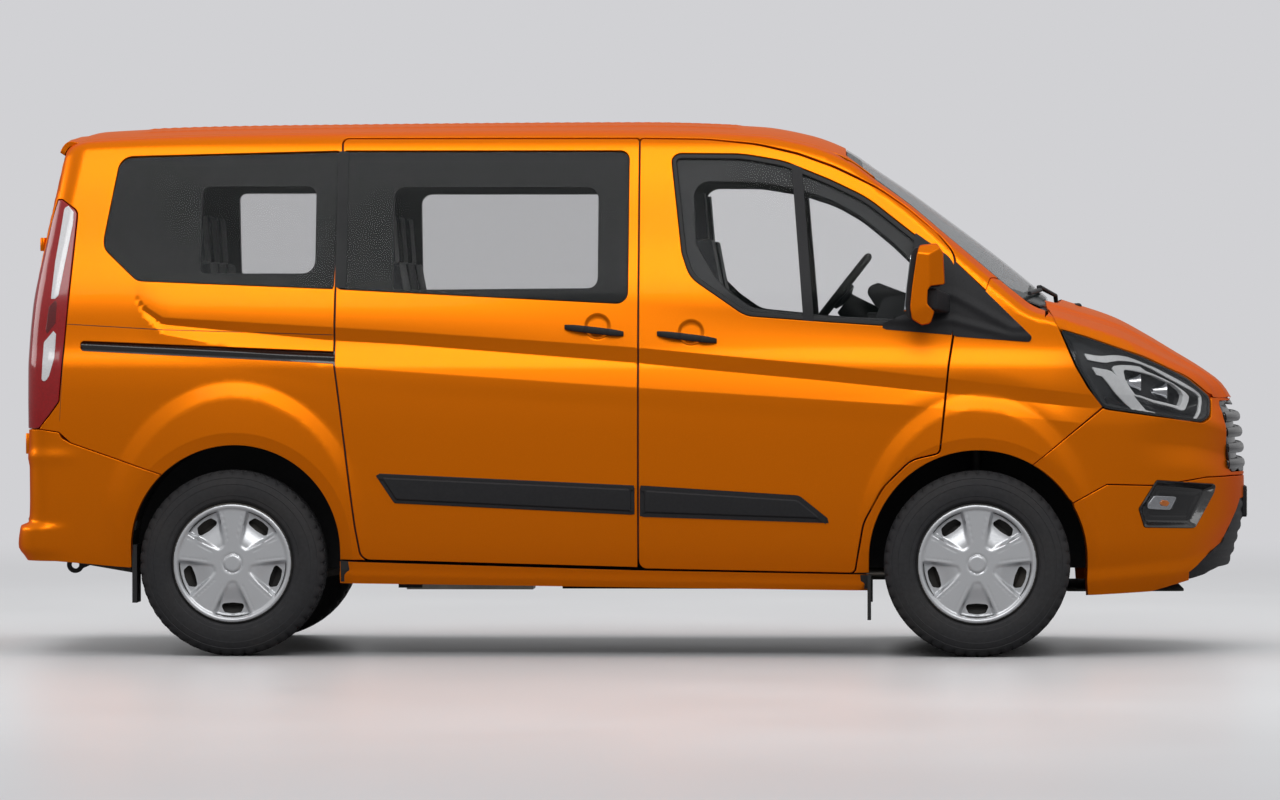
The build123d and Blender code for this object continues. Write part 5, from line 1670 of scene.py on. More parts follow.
cover_uv, cover_triangles = cover_mesh()
for corner, axle_x, sign in (("front_left", FRONT_AXLE_X, 1), ("front_right", FRONT_AXLE_X, -1),
                             ("rear_left", REAR_AXLE_X, 1), ("rear_right", REAR_AXLE_X, -1)):
    centre = (axle_x, WHEEL_Y * sign, WHEEL_Z)
    body = "wheel_" + corner
    points, faces = lathe(TYRE_PROFILE, TREAD_SEGMENTS, centre, sign, tread_wave)
    tyre = solid("tyre_rubber_" + corner, points, faces, TYRE_RUBBER, flat_angle=24.0)
    piece(tyre, body, "tyre", "tyre_" + corner)
    height = cover_height(cover_uv)
    front = np.stack([centre[0] + cover_uv[:, 0], centre[1] + sign * height, centre[2] + cover_uv[:, 1]], 1)
    back = front - (0, sign * 3.0, 0)
    count = len(front)
    edge = [pair for loop in boundary(cover_triangles) for pair in zip(loop, loop[1:] + loop[:1])]
    walls = [[a, b, b + count, a + count] for a, b in edge]
    faces = [*cover_triangles.tolist(), *(cover_triangles[:, ::-1] + count).tolist(), *walls]
    cover = solid("wheel_cover_" + corner, np.concatenate([front, back]), faces, SILVER, flat_angle=50.0)
    piece(cover, body, "wheel_silver")
    rim = [(219, 93), (232, 95), (233, 99), (229, 101), (216, 99), (206, 84), (203, 60), (202, 20),
           (203, -99), (233, -99), (233, -94), (219, -92), (212, -60), (211, 60)]
    points, faces = lathe(rim, 96, centre, sign)
    piece(solid("wheel_rim_" + corner, points, faces, STEEL, flat_angle=35.0), body, "wheel_silver",
          "wheel_" + corner)
    disc = [(203, 42), (170, 34), (150, 46), (110, 52), (70, 44), (60, 30), (34, 30), (34, 22), (60, 22),
            (74, 34), (110, 44), (148, 38), (170, 26), (203, 34)]
    points, faces = lathe(disc, 96, centre, sign)
    piece(solid("wheel_disc_" + corner, points, faces, STEEL, flat_angle=35.0), body, "wheel_silver")
    drum = [(150, -32), (150, -54), (60, -54), (36, -64), (12, -64), (12, 20), (60, 24), (60, -30)]
    points, faces = lathe(drum, 72, centre, sign)
    piece(solid("brake_disc_" + corner, points, faces, CAST, flat_angle=30.0), body, "steel")

# ---- Carried-over CAD nodes ----
KEPT = {
    "floor_pan": UNDERBODY, "front_subframe": STEEL, "rear_axle": CAST, "knuckle_left": CAST,
    "knuckle_right": CAST, "engine": CAST, "fuel_tank": PLASTIC, "exhaust": PIPE, "wheel_housings": PLASTIC,
    "mud_flaps": RUBBER, "cowl": PLASTIC, "wipers": PLASTIC, "dashboard": TRIM,
}
for node, finish in KEPT.items():
    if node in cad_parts:
        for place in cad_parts[node].material_slots:
            place.material = finish


# ---- Headlamps ----
def edge_distance(points, loop):
    """Each point's distance from a loop's sides."""
    points = np.asarray(points, float)
    nearest = np.full(len(points), 1e9)
    for a, b in zip(loop, np.roll(loop, -1, 0)):
        run = b - a
        t = np.clip(((points - a) @ run) / max(run @ run, 1e-9), 0, 1)
        nearest = np.minimum(nearest, np.hypot(*(points - a - t[:, None] * run).T))
    return nearest


def lamp_loop(points, radius=30, sharp=()):
    """A loop on the nose from side-view points, rounded at all but the sharp ones."""
    corners = [(x, z, 2 if k in sharp else radius) for k, (x, z) in enumerate(points)]
    return largest(region([side_uv(corners, 5.0, NOSE, "nose")], []))


lamp_edge = shrunk(headlamp_uv, 2.0)
lamp_front_u = on(NOSE, side_points([(1850, 1080)], "nose"))[0, 0]


def bowl_lift(uv):
    """The lamp's dark bowl, deepest round the projectors."""
    away = edge_distance(uv, lamp_edge)
    front = smooth_step((uv[:, 0] - lamp_front_u) / 160.0)
    return -9.0 - 16.0 * smooth_step((away - 9) / 12.0) - 46.0 * front * smooth_step((away - 22) / 34.0)


panels("headlamp_bowl", NOSE, [lamp_edge], 4.0, 9.0, LAMP_DARK, "lamp_clear", nodes=["headlamps"], hem=2.0,
       inner_step=9.0, lift_map=bowl_lift, deep=True)
GUIDE_OUTER = [
    (1760, 1176), (1806, 1168), (1833, 1166), (1873, 1169), (1900, 1168), (1932, 1163), (1963, 1153),
    (2003, 1137), (2042, 1122), (2121, 1082), (2200, 1038), (2223, 1021), (2234, 1005), (2234, 982),
    (2227, 946), (2215, 923), (2200, 910), (2172, 910), (2121, 921), (2062, 934), (2003, 944), (1955, 952),
    (1928, 974), (1900, 1001), (1877, 1029), (1853, 1061), (1833, 1084), (1810, 1090),
]
GUIDE_INNER = [
    (1791, 1123), (1825, 1116), (1853, 1111), (1873, 1104), (1900, 1078), (1951, 1017), (1991, 970),
    (2005, 956), (2062, 941), (2121, 928), (2172, 918), (2196, 918), (2209, 931), (2219, 954), (2226, 986),
    (2225, 1003), (2211, 1018), (2180, 1036), (2101, 1076), (2026, 1116), (1991, 1132), (1959, 1141),
    (1932, 1145), (1900, 1147), (1869, 1143), (1851, 1139), (1825, 1141), (1776, 1150),
]
guide_loop = lamp_loop(GUIDE_OUTER + GUIDE_INNER, 9, (0, 27, 28, 55))
panels("headlamp_guide", NOSE, [guide_loop], 9.0, 8.0, LAMP_SILVER, "lamp_clear", lift=-13.0, hem=2.0)
CUP_OUTER = [
    (1873, 1120), (1885, 1129), (1916, 1133), (1955, 1131), (1987, 1126), (2011, 1108), (2042, 1096),
    (2081, 1080), (2121, 1061), (2152, 1041), (2174, 1025), (2189, 1007), (2186, 990), (2172, 960),
    (2156, 956), (2089, 972), (2042, 982), (1995, 999), (1963, 1007), (1940, 1025), (1908, 1061),
    (1881, 1104),
]
CUP_INNER = [
    (1920, 1112), (1963, 1108), (2003, 1099), (2042, 1088), (2081, 1072), (2121, 1055), (2154, 1029),
    (2164, 1013), (2160, 994), (2148, 970), (2089, 984), (2042, 993), (1995, 1007), (1967, 1016),
    (1948, 1041), (1928, 1076),
]
cup_loops = region([lamp_loop(CUP_OUTER, 12)], [lamp_loop(CUP_INNER, 8)])
panels("headlamp_frame", NOSE, cup_loops, 22.0, 7.0, LAMP_SILVER, "lamp_clear", lift=-20.0, hem=3.0)
pocket = lamp_loop([(1837, 1002), (1872, 1006), (1918, 968), (1872, 962)], 4)
panels("headlamp_pocket", NOSE, [pocket], 5.0, 10.0, GLOSS_BLACK, "lamp_clear", lift=-22.0, hem=1.5)


def turned_forward(profile, centre):
    """A lathed form about a line along X. profile's columns are radius and way forwards."""
    points, faces = lathe(profile, 48)
    return points[:, [1, 0, 2]] + np.asarray(centre, float), faces


# Projectors. Columns: x of the barrel's rim, z, depth below the lens, radius.
PROJECTORS = [("rear", 1978, 1056, 66, 32), ("front", 2082, 1022, 78, 33)]
for name, x, z, depth, radius in PROJECTORS:
    y = side_points([(x, z)], "nose")[0, 1] - depth
    barrel = [(0.5, -78), (radius * 0.7, -78), (radius, -66), (radius + 1, -20), (radius + 6, -4),
              (radius + 6, 2), (radius + 2, 3), (radius - 4, -6), (radius - 10, -26), (0.5, -36)]
    points, faces = turned_forward(barrel, (x, y, z))
    pair_of(f"headlamp_{name}_barrel", points, faces, "body", "lamp_clear", [], CHROME, flat_angle=50.0)
    dome = [(0.5, 6), (radius * 0.4, 4), (radius * 0.7, -3), (radius * 0.86, -12), (radius * 0.9, -18),
            (0.5, -20)]
    points, faces = turned_forward(dome, (x, y, z))
    pair_of(f"headlamp_{name}_lens", points, faces, "body", "lamp_clear", [], CLEAR_LENS, flat_angle=50.0)
both("headlamp_border", band(NOSE, shrunk(headlamp_uv, 1.2), 10.0, 2.0, -3.6, 0.5), "body", "lamp_clear", [],
     FRIT)
panels("headlamp_lens", NOSE, [shrunk(headlamp_uv, 1.0)], 2.6, 14.0, CLEAR_LENS, "lamp_clear", lift=-0.5,
       hem=1.0)

# ---- Fog lamps in nested black bezels ----
fog_edge = region([fog_uv], [])[0]


def fog_lift(uv):
    away = edge_distance(uv, fog_edge)
    return 3.0 - 30.0 * smooth_step(away / 26.0) + 5.0 * smooth_step(1 - np.abs(away - 34) / 7.0)


panels("fog_bezel", NOSE, [fog_edge], 4.0, 8.0, GLOSS_BLACK, "dark_plastic", hem=2.0, inner_step=8.0,
       lift_map=fog_lift, deep=True)
fog_lens = lamp_loop([(2042, 621), (2128, 616), (2132, 610), (2108, 564), (2016, 569), (2014, 586)], 5)
panels("fog_lamp_cup", NOSE, [fog_lens], 8.0, 8.0, CHROME, "lamp_clear", lift=-19.0, hem=2.0)
panels("fog_lamp_bulb", NOSE, [lamp_loop([(2068, 604), (2106, 600), (2094, 578), (2062, 582)], 6)], 6.0, 8.0,
       AMBER_LENS, "lamp_clear", lift=-14.0, hem=2.0)
panels("fog_lamp_lens", NOSE, [inset(fog_lens, 1.0)], 2.5, 10.0, CLEAR_LENS, "lamp_clear", lift=-11.0,
       hem=1.0)
sensor = on(NOSE, side_points(circle(2150, 415, 13.0, 4.0), "nose"))
panels("parking_sensor", NOSE, region([sensor], []), 6.0, 6.0, PAINT, "paint", lift=-5.0, hem=1.5)
grille_frame = region([grille_outline], [])[0]
piece(built("grille_frame", band(NOSE, inset(grille_frame, 1.0), 18.0, 26.0, -1.0, 3.0), GLOSS_BLACK), "body",
      "grille_black")


# ---- Mirrors ----
class Sheet:
    """A surface y(x, z) on which shell() can build."""

    def __init__(self, height):
        self.height = height

    def place(self, uv):
        uv = np.asarray(uv, float).reshape(-1, 2)
        x, z = uv[:, 0], uv[:, 1]
        y = self.height(x, z)
        slope_x = (self.height(x + 1, z) - self.height(x - 1, z)) / 2
        slope_z = (self.height(x, z + 1) - self.height(x, z - 1)) / 2
        normal = unit(np.stack([-slope_x, np.ones_like(y), -slope_z], 1))
        return np.stack([x, y, z], 1), normal, np.stack([0 * y, np.ones_like(y), 0 * y], 1)


def mirror_face(x, z):
    """Four nearly flat facets meeting over soft ridges."""
    facets = [1148 - (1160 - x) * 0.16, 1148 - (x - 1160) * 0.6, 1148 - (z - 1556) * 1.1,
              1148 - (1345 - z) * 0.45]
    return -2.5 * np.log(sum(np.exp(-(f - 1100) / 2.5) for f in facets)) + 1100


MIRROR_SHELL = [
    (1121, 1588, 16), (1190, 1596, 14), (1214, 1562, 10), (1222, 1438, 8), (1168, 1432, 10), (1155, 1415, 10),
    (1153, 1363, 14), (1182, 1333, 8), (1166, 1287, 18), (1132, 1281, 14), (1094, 1304, 18), (1087, 1350, 60),
    (1095, 1430, 300), (1113, 1552, 100),
]
MIRROR_BACK = [
    (1104, 1580, 14), (1190, 1586, 20), (1206, 1560, 16), (1206, 1430, 10), (1150, 1425, 5), (1150, 1345, 5),
    (1180, 1320, 8), (1160, 1292, 14), (1126, 1292, 14), (1078, 1312, 14), (1070, 1360, 60),
    (1078, 1440, 300), (1094, 1560, 60),
]
panels("mirror_shell", Sheet(mirror_face), region([rounded(MIRROR_SHELL, 6.0)], []), 30.0, 7.0, PAINT,
       "paint", body="front_door_{side}", nodes=["mirror_{side}"], hem=5.0)
panels("mirror_housing", Sheet(lambda x, z: 1118 - 0.25 * (x - 1100) + 0 * z),
       region([rounded(MIRROR_BACK, 7.0)], []), 96.0, 14.0, PLASTIC, "dark_plastic", body="front_door_{side}",
       hem=4.0)
glass_loop = rounded([(1023, 1345, 20), (1023, 1540, 20), (1096, 1556, 20), (1100, 1330, 20)], 8.0)


def mirror_pane(depth):
    return np.stack([1063.5 + (glass_loop[:, 1] - 1330) * 0.118 + depth, glass_loop[:, 0], glass_loop[:, 1]],
                    1)


points, faces = loft([mirror_pane(0.0), mirror_pane(8.0)])
pair_of("mirror_glass", points, faces, "front_door_{side}", "window", [], MIRROR_GLASS)
ARM = [
    (926, [(1146, 1326), (1246, 1326), (1246, 1398), (1146, 1428)]),
    (1000, [(1146, 1332), (1232, 1330), (1232, 1404), (1146, 1426)]),
    (1092, [(1146, 1345), (1186, 1340), (1190, 1424), (1146, 1424)]),
]
points, faces = loft([[(x, y, z) for x, z in corners] for y, corners in ARM])
pair_of("mirror_arm", points, faces, "front_door_{side}", "dark_plastic", [], PLASTIC, bevel=9.0)


# ---- Black borders printed round the side windows' inside faces ----
for name, outline, view in (("sliding_door", slider_window_uv, SLIDER_VIEW),
                            ("quarter", quarter_window_uv, QUARTER_VIEW)):
    panels(name + "_window_border", SIDE, region([shrunk(outline, 4.0)], [view]), 2.0, 30.0, FRIT, "window",
           lift=-7.5, hem=0.5)
divider = side_uv([(-1092, 1955, 4), (-1094, 1426, 4), (-1136, 1426, 4), (-1132, 1955, 4)])
panels("window_divider", SIDE, [divider], 5.0, 16.0, FRIT, "window", lift=0.8, hem=1.0)
headliner = rounded([(770, 600, 120), (770, -600, 120), (-2130, -600, 80), (-2130, 600, 80)], 40.0)
panel("headliner", ROOF, region([headliner], []), 8.0, 60.0, TRIM_LIGHT, "trim", lift=-47.0, hem=3.0)


# ---- Plates, rear handle, hinges and lamps on the rear doors ----
def block(a, b, half_a, half_b):
    """The four corners of a rectangle round a centre."""
    return [(a - half_a, b - half_b), (a + half_a, b - half_b), (a + half_a, b + half_b),
            (a - half_a, b + half_b)]


def slab(name, corners, depth, way, body, slot, finish, radius=8.0, bevel=2.0):
    """A flat plate with round corners (a, b) in its plane. depth is its (start, end) along the way."""
    loop = rounded([(a, b, radius) for a, b in corners], 12.0)
    rings = []
    for d in depth:
        rows = {"x": (np.full(len(loop), d), loop[:, 0], loop[:, 1]),
                "y": (loop[:, 0], np.full(len(loop), d), loop[:, 1]),
                "z": (loop[:, 0], loop[:, 1], np.full(len(loop), d))}[way]
        rings.append(np.stack(rows, 1))
    points, faces = loft(rings)
    return piece(solid(name, points, faces, finish, bevel=bevel), body, slot)


PLATE_WHITE = material("blank_plate", srgb(226, 226, 222), 0.35, coat=0.3, vary=0.03, scale=60.0)
front_x = nose_tip(585.0)
slab("front_plate_holder", block(0, 585, 268, 61), (front_x - 16, front_x + 4), "x", "body", "dark_plastic",
     PLASTIC)
slab("front_plate", block(0, 585, 260, 55), (front_x + 3, front_x + 6), "x", "body", "dark_plastic",
     PLATE_WHITE, bevel=1.0)


PLATE_CENTRE = (355.0, 970.0)
PLATE_RECESS = 20.0
PLATE_HALF = (260.0, 55.0)


def hinge_line(z):
    """y of the rear door's outer edge at a height."""
    return float(along(z, [(1050, 797), (1480, 770), (1780, 742)]))


def rear_at(y, z):
    return REAR.place([(y, z)])[0][0, 0]


plate_y, plate_z = PLATE_CENTRE
plate_x = rear_at(plate_y, plate_z)
slab("rear_plate", block(plate_y, plate_z, *PLATE_HALF),
     (plate_x + PLATE_RECESS - 12, plate_x + PLATE_RECESS - 4), "x", "rear_door_left", "dark_plastic",
     PLATE_WHITE, bevel=1.0)


def rear_bar(name, rows, half, body, finish, slot, thick=16.0):
    """A rounded bar along points (y, z, stand-off) on the rear doors' outer face."""
    rings = []
    for y, z, stand in rows:
        x = rear_at(y, z) - stand
        angles = np.arange(12) * 2 * math.pi / 12
        rings.append(np.stack([x + thick / 2 * np.cos(angles), np.full(12, float(y)),
                               z + half * np.sin(angles)], 1))
    points, faces = loft(rings)
    return piece(solid(name, points, faces, finish, bevel=1.5), body, slot)


rear_bar("rear_door_grip",
         [(60, 1150, 2), (70, 1150, 16), (150, 1150, 20), (330, 1150, 20), (410, 1150, 16), (420, 1150, 2)],
         20, "rear_door_left", PLASTIC, "dark_plastic")
rear_bar("high_brake_lamp", [(-150, 1972, -1), (-60, 1974, 3), (60, 1974, 3), (150, 1972, -1)], 11, "body",
         RED_LENS, "lamp_red", 14.0)
# Hinges: a knuckle on the body's corner and a strap on the door. Columns: height of the middle, half height.
for k, (z, half) in enumerate(((1595, 26), (820, 40))):
    y = hinge_line(z)
    x = rear_at(y, z) + 4
    knuckle, faces = lathe([(11, -half), (13, 3 - half), (13, half - 3), (11, half), (0.4, half),
                            (0.4, -half)], 20)
    knuckle = knuckle[:, [0, 2, 1]] + (x - 14, y + 4, z)
    pair_of(f"rear_hinge_pin_{k}", knuckle, faces, "body", "paint", [], PAINT, bevel=0.0)
    strap = rounded([(y - 66, z - half + 8, 8), (y - 4, z - half + 2, 4), (y - 4, z + half - 2, 4),
                     (y - 66, z + half - 8, 8)], 8.0)
    rings = [np.stack([REAR.place(strap)[0][:, 0] - d, strap[:, 0], strap[:, 1]], 1) for d in (-2.0, 9.0)]
    points, faces = loft(rings)
    pair_of(f"rear_hinge_strap_{k}", points, faces, "rear_door_{side}", "paint", [], PAINT, bevel=2.0)
# Reflectors in the rear bumper and a tread plate on its step
reflector = rear_points([(690, 436), (890, 440), (890, 474), (690, 470)])
loops = region([divided(on(REAR_WRAP, reflector), 14.0)], [])
panels("rear_reflector", REAR_WRAP, loops, 8.0, 14.0, RED_LENS, "lamp_red", lift=26.5, hem=2.0)
step_x = rear_at(0, 500)
slab("rear_step_pad", [(step_x - 26, -560), (step_x + 40, -560), (step_x + 40, 560), (step_x - 26, 560)],
     (512, 524), "z", "body", "dark_plastic", PLASTIC, radius=12)
UPPER_LENS = [(-2184, 1752, 6), (-2158, 1719, 8), (-2160, 1671, 20), (-2208, 1395, 12), (-2238, 1366, 6),
              (-2224, 1527, 60), (-2206, 1647, 60), (-2195, 1728, 6)]
LOWER_LENS = [(-2214, 1272, 6), (-2262, 1214, 8), (-2270, 1040, 10), (-2240, 1083, 10), (-2220, 1155, 12)]
for name, outline in (("upper", UPPER_LENS), ("lower", LOWER_LENS)):
    loop = side_uv(outline, 8.0)
    panels(f"tail_lamp_{name}_lens", SIDE, region([loop], []), 4.0, 9.0, WHITE_LENS, "lamp_red", lift=3.4,
           hem=1.0)
MIDDLE_LENS = [(-2212, 1384, 4), (-2244, 1352, 4), (-2258, 1236, 4), (-2218, 1288, 4)]
loop = side_uv(MIDDLE_LENS, 8.0)
panels("tail_lamp_middle_lens", SIDE, region([loop], []), 4.0, 9.0, DEEP_RED, "lamp_red", lift=3.0, hem=1.0)
# The seam across the rear quarter and down behind the lamp, as a dark joint
SEAM_PATH = [(-1136, 1243), (-1800, 1263), (-2176, 1285), (-2184, 1272), (-2188, 1120), (-2198, 905)]
seam_top = np.array(SEAM_PATH, float)
seam_loop = np.concatenate([seam_top + (0, 1.4), (seam_top - (1.6, 1.4))[::-1]])
loop = side_uv([(x, z, 3) for x, z in seam_loop], 12.0)
panels("quarter_seam", SIDE, region([loop], []), 3.0, 12.0, RUBBER, "dark_plastic", lift=0.35, hem=0.4)
slab("engine_undertray", [(1700, -560), (2160, -520), (2160, 520), (1700, 560)], (240, 250), "z", "body",
     "dark_plastic", UNDERBODY, radius=30)
for side, sign in SIDES:
    nozzle, faces = lathe([(0.4, -3), (14, -3), (15, 2), (11, 8), (5, 11), (0.4, 11)], 24)
    y = 230.0 * sign
    z = nose_height(1752.0) - nose_drop(1752.0) * (y / DROP_Y) ** 2 + 6
    nozzle = nozzle[:, [0, 2, 1]] + (1752.0, y, float(z))
    piece(solid(f"washer_nozzle_{side}", nozzle, faces, PLASTIC), "bonnet", "dark_plastic")

# ---- Steering wheel and dashboard ----
TILT = math.radians(38)
COLUMN_END = np.array([900.0, 400.0, 1333.0])
WHEEL_OUT = np.array([-math.cos(TILT), 0, math.sin(TILT)])
WHEEL_UP = np.array([math.sin(TILT), 0, math.cos(TILT)])
WHEEL_CENTRE = COLUMN_END + 120 * WHEEL_OUT


def wheel_place(points):
    """Points (across, out of the wheel's face, up it) set in the tilted wheel."""
    points = np.asarray(points, float)
    across, out, up = points[:, :1], points[:, 1:2], points[:, 2:3]
    return WHEEL_CENTRE + across * np.array([0, 1.0, 0]) + out * WHEEL_OUT + up * WHEEL_UP


angles = np.arange(16) * 2 * math.pi / 16
rim_profile = np.stack([185 + 16.5 * np.cos(angles) + 1.2 * np.cos(3 * angles), 16.0 * np.sin(angles)], 1)
points, faces = lathe(rim_profile, 72)
piece(solid("steering_rim", wheel_place(points), faces, GRIP), "steering_wheel", "wheel_rim_grip",
      "steering_wheel")
hub = [(0.4, 14), (40, 12), (58, 5), (62, -8), (58, -28), (30, -40), (24, -100), (0.4, -100)]
points, faces = lathe(hub, 48)
piece(solid("steering_hub", wheel_place(points * (1.15, 1, 1)), faces, TRIM), "steering_wheel",
      "wheel_rim_grip")
for k, turn in enumerate((0, 180, 270)):
    way = np.array([math.cos(math.radians(turn)), math.sin(math.radians(turn))])
    cross = np.array([-way[1], way[0]])
    rings = []
    for r, half, out, thick in ((40, 26, -4, 14), (100, 17, -8, 10), (150, 15, -8, 9), (180, 18, -2, 8)):
        ring = [way * r + cross * half * s for s in (-1, 1)]
        rings.append([(ring[0][0], out - thick, ring[0][1]), (ring[1][0], out - thick, ring[1][1]),
                      (ring[1][0], out + thick, ring[1][1]), (ring[0][0], out + thick, ring[0][1])])
    points, faces = loft(rings)
    piece(solid(f"steering_spoke_{k}", wheel_place(points), faces, GRIP, bevel=4.0), "steering_wheel",
          "wheel_rim_grip")
angles = np.linspace(0, 2 * math.pi, 20, endpoint=False)
shroud = [wheel_place([(across * math.cos(a), out, -20 + up * math.sin(a)) for a in angles])
          for out, across, up in ((-40, 62, 48), (-110, 70, 62), (-190, 84, 80))]
points, faces = loft(shroud)
piece(solid("steering_column_shroud", points, faces, TRIM, bevel=6.0), "body", "trim")
DASH_TOP = [(958, 1296), (985, 1388), (1180, 1402), (1466, 1376), (1466, 1350), (1180, 1370), (1000, 1300)]
rings = [[(x, y, z) for x, z in DASH_TOP] for y in (-764, -500, 0, 500, 764)]
points, faces = loft(rings)
piece(solid("dashboard_pad", points, faces, RUBBER, bevel=8.0), "body", "trim")
slab("centre_console", [(-170, 900), (170, 900), (150, 1330), (-150, 1330)], (918, 1000), "x", "body", "trim",
     TRIM, 30, 8.0)
slab("centre_screen", block(0, 1250, 105, 60), (911, 919), "x", "body", "trim", GLOSS_BLACK, 8, 2.0)
for k, y in enumerate((-690, -230, 230, 690)):
    slab(f"air_vent_{k}", block(y, 1255, 50, 35), (938, 962), "x", "body", "trim", GLOSS_BLACK, 14, 3.0)


# ---- Seats: pads swollen by a cloth simulation between their pinned seams, then copied to each place ----
PAD_CAP = 24.0  # the most that the simulation may move a point
PAD_WIDTH = 520.0
CLOTH_FRAMES = 20


def pad_grid(profile, half, counts):
    """A four-cornered profile (x, z) stretched across y. Gives points, faces and grid places."""
    nx, ny, nz = counts
    index, points, place = {}, [], []
    bottom_back, top_back, top_front, bottom_front = (np.array(c, float) for c in profile)
    for i in range(nx + 1):
        for j in range(ny + 1):
            for k in range(nz + 1):
                if i in (0, nx) or j in (0, ny) or k in (0, nz):
                    s, t = i / nx, k / nz
                    low = bottom_back + (bottom_front - bottom_back) * s
                    high = top_back + (top_front - top_back) * s
                    x, z = low + (high - low) * t
                    index[i, j, k] = len(points)
                    points.append((x, (2 * j / ny - 1) * half, z))
                    place.append((i, j, k))
    faces = []
    for axis, (a_count, b_count) in enumerate(((ny, nz), (nx, nz), (nx, ny))):
        for side in (0, counts[axis]):
            for a in range(a_count):
                for b in range(b_count):
                    corners = []
                    for da, db in ((0, 0), (1, 0), (1, 1), (0, 1)):
                        key = [a + da, b + db]
                        key.insert(axis, side)
                        corners.append(index[tuple(key)])
                    faces.append(corners)
    return np.array(points), faces, np.array(place)


def swollen(name, profile, half, counts, seams, shrink=7.0):
    """A pad's points after the simulation, its seams drawn in. seams tests a grid place for a sewn line."""
    points, faces, place = pad_grid(profile, half, counts)
    centre = points.mean(0)
    size = points.max(0) - points.min(0)
    start = centre + (points - centre) * (1 - 2 * shrink / size)
    # Edges of the box are rounded off before the fabric is blown up.
    ends = (place == 0).astype(float) + (place == np.array(counts))
    corner = np.clip(ends.sum(1) - 1, 0, 2)
    start = start + (centre - start) * (corner * 9.0 / np.linalg.norm(size))[:, None]
    mesh = bpy.data.meshes.new(name)
    mesh.from_pydata((start * MM).tolist(), [], faces)
    obj = bpy.data.objects.new(name, mesh)
    bpy.context.scene.collection.objects.link(obj)
    sewn = np.array([seams(p, counts) for p in place])
    group = obj.vertex_groups.new(name="sewn")
    group.add([int(k) for k in np.nonzero(sewn)[0]], 1.0, "REPLACE")
    cloth = obj.modifiers.new("cloth", "CLOTH")
    cloth.settings.use_pressure = True
    cloth.settings.uniform_pressure_force = 4.0
    cloth.settings.effector_weights.gravity = 0.0
    cloth.settings.vertex_group_mass = "sewn"
    cloth.settings.quality = 6
    scene_now = bpy.context.scene
    for number in range(1, CLOTH_FRAMES + 1):
        scene_now.frame_set(number)
    evaluated = obj.evaluated_get(bpy.context.evaluated_depsgraph_get())
    moved = np.array([v.co for v in evaluated.data.vertices]) / MM
    way = moved - start
    length = np.linalg.norm(way, axis=1)
    start = start + way * (np.minimum(length, PAD_CAP) / np.maximum(length, 1e-6))[:, None]
    obj.modifiers.clear()
    scene_now.frame_set(1)
    inward = unit(centre - start)
    start = start + inward * (sewn & (corner == 0))[:, None] * 3.0
    bpy.data.objects.remove(obj)
    bpy.data.meshes.remove(mesh)
    return start, faces


def cushion_seams(p, counts):
    i, j, k = p
    nx, ny, nz = counts
    bolster = max(2, round(ny * 0.2))
    top = k == nz and (j in (bolster, ny - bolster) or (i == nx // 2 and bolster <= j <= ny - bolster))
    front = i == nx and j in (bolster, ny - bolster)
    rim = k == nz and (j in (0, ny) or i in (0, nx))
    return k == 0 or top or front or rim or (i == 0 and k < nz)


def back_seams(p, counts):
    i, j, k = p
    nx, ny, nz = counts
    bolster = max(2, round(ny * 0.2))
    channel = k in (nz // 3, 2 * nz // 3) and bolster <= j <= ny - bolster
    face = i == nx and (j in (bolster, ny - bolster) or channel)
    rim = i == nx and (j in (0, ny) or k in (0, nz))
    return i == 0 or k == 0 or face or rim


def rest_seams(p, counts):
    i, j, k = p
    nx, ny, nz = counts
    return k == 0 or (i in (0, nx) and j in (0, ny)) or (k == nz and i in (0, nx))


CUSHION = swollen("pad_cushion", [(-232, 262), (-242, 398), (252, 426), (256, 282)], 250, (26, 26, 7),
                  cushion_seams)
BACK = swollen("pad_back", [(-258, 400), (-150, 418), (-284, 1012), (-380, 1004)], 240, (6, 26, 32),
               back_seams)
REST = swollen("pad_rest", [(-376, 1000), (-296, 1004), (-312, 1194), (-404, 1188)], 124, (5, 14, 9),
               rest_seams, 4.0)
SEAT_ROWS = [("front", "front_seats", 600, 520, 610, (-420, 420)),
             ("middle", "rear_seats", -620, 440, 520, (-500, 0, 500)),
             ("last", "rear_seats", -1376, 360, 520, (-380, 0, 380))]
for row, node, seat_x, width, seat_floor, places in SEAT_ROWS:
    for number, seat_y in enumerate(places):
        name = f"{row}_seat_{number}"
        for part, (points, faces), across in (("cushion", CUSHION, width / PAD_WIDTH),
                                              ("back", BACK, width / PAD_WIDTH), ("head_rest", REST, 1.0)):
            placed = points * (1, across, 1) + (seat_x, seat_y, seat_floor)
            obj = solid(f"{name}_{part}", placed, faces, CLOTH, flat_angle=70.0)
            piece(obj, "body", "seat_cloth", node)
        half = width / 2 - 44
        rings = []
        for z, grow in ((2, 8), (30, 0), (200, -14), (258, -4)):
            corners = block(seat_x + 8, seat_y, 184 + grow, half + grow - 8)
            rings.append([(x, y, seat_floor + z) for x, y in corners])
        points, faces = loft(rings)
        piece(solid(name + "_plinth", points, faces, PLASTIC, bevel=8.0), "body", "seat_cloth")
        for post, offset in enumerate((-60, 60)):
            points, faces = lathe([(0.4, 980), (6, 980), (6, 1040), (0.4, 1040)], 14)
            points = points[:, [0, 2, 1]] + (seat_x - 334, seat_y + offset, seat_floor)
            piece(solid(f"{name}_post_{post}", points, faces, CHROME), "body", "steel")
        for hinge, offset in enumerate((-width / 2 + 4, width / 2 - 4)):
            cover, faces = lathe([(0.4, -7), (40, -7), (46, -3), (46, 3), (40, 7), (0.4, 7)], 28)
            points = cover + (seat_x - 214, seat_y + offset, seat_floor + 345)
            piece(solid(f"{name}_hinge_{hinge}", points, faces, PLASTIC), "body", "trim")


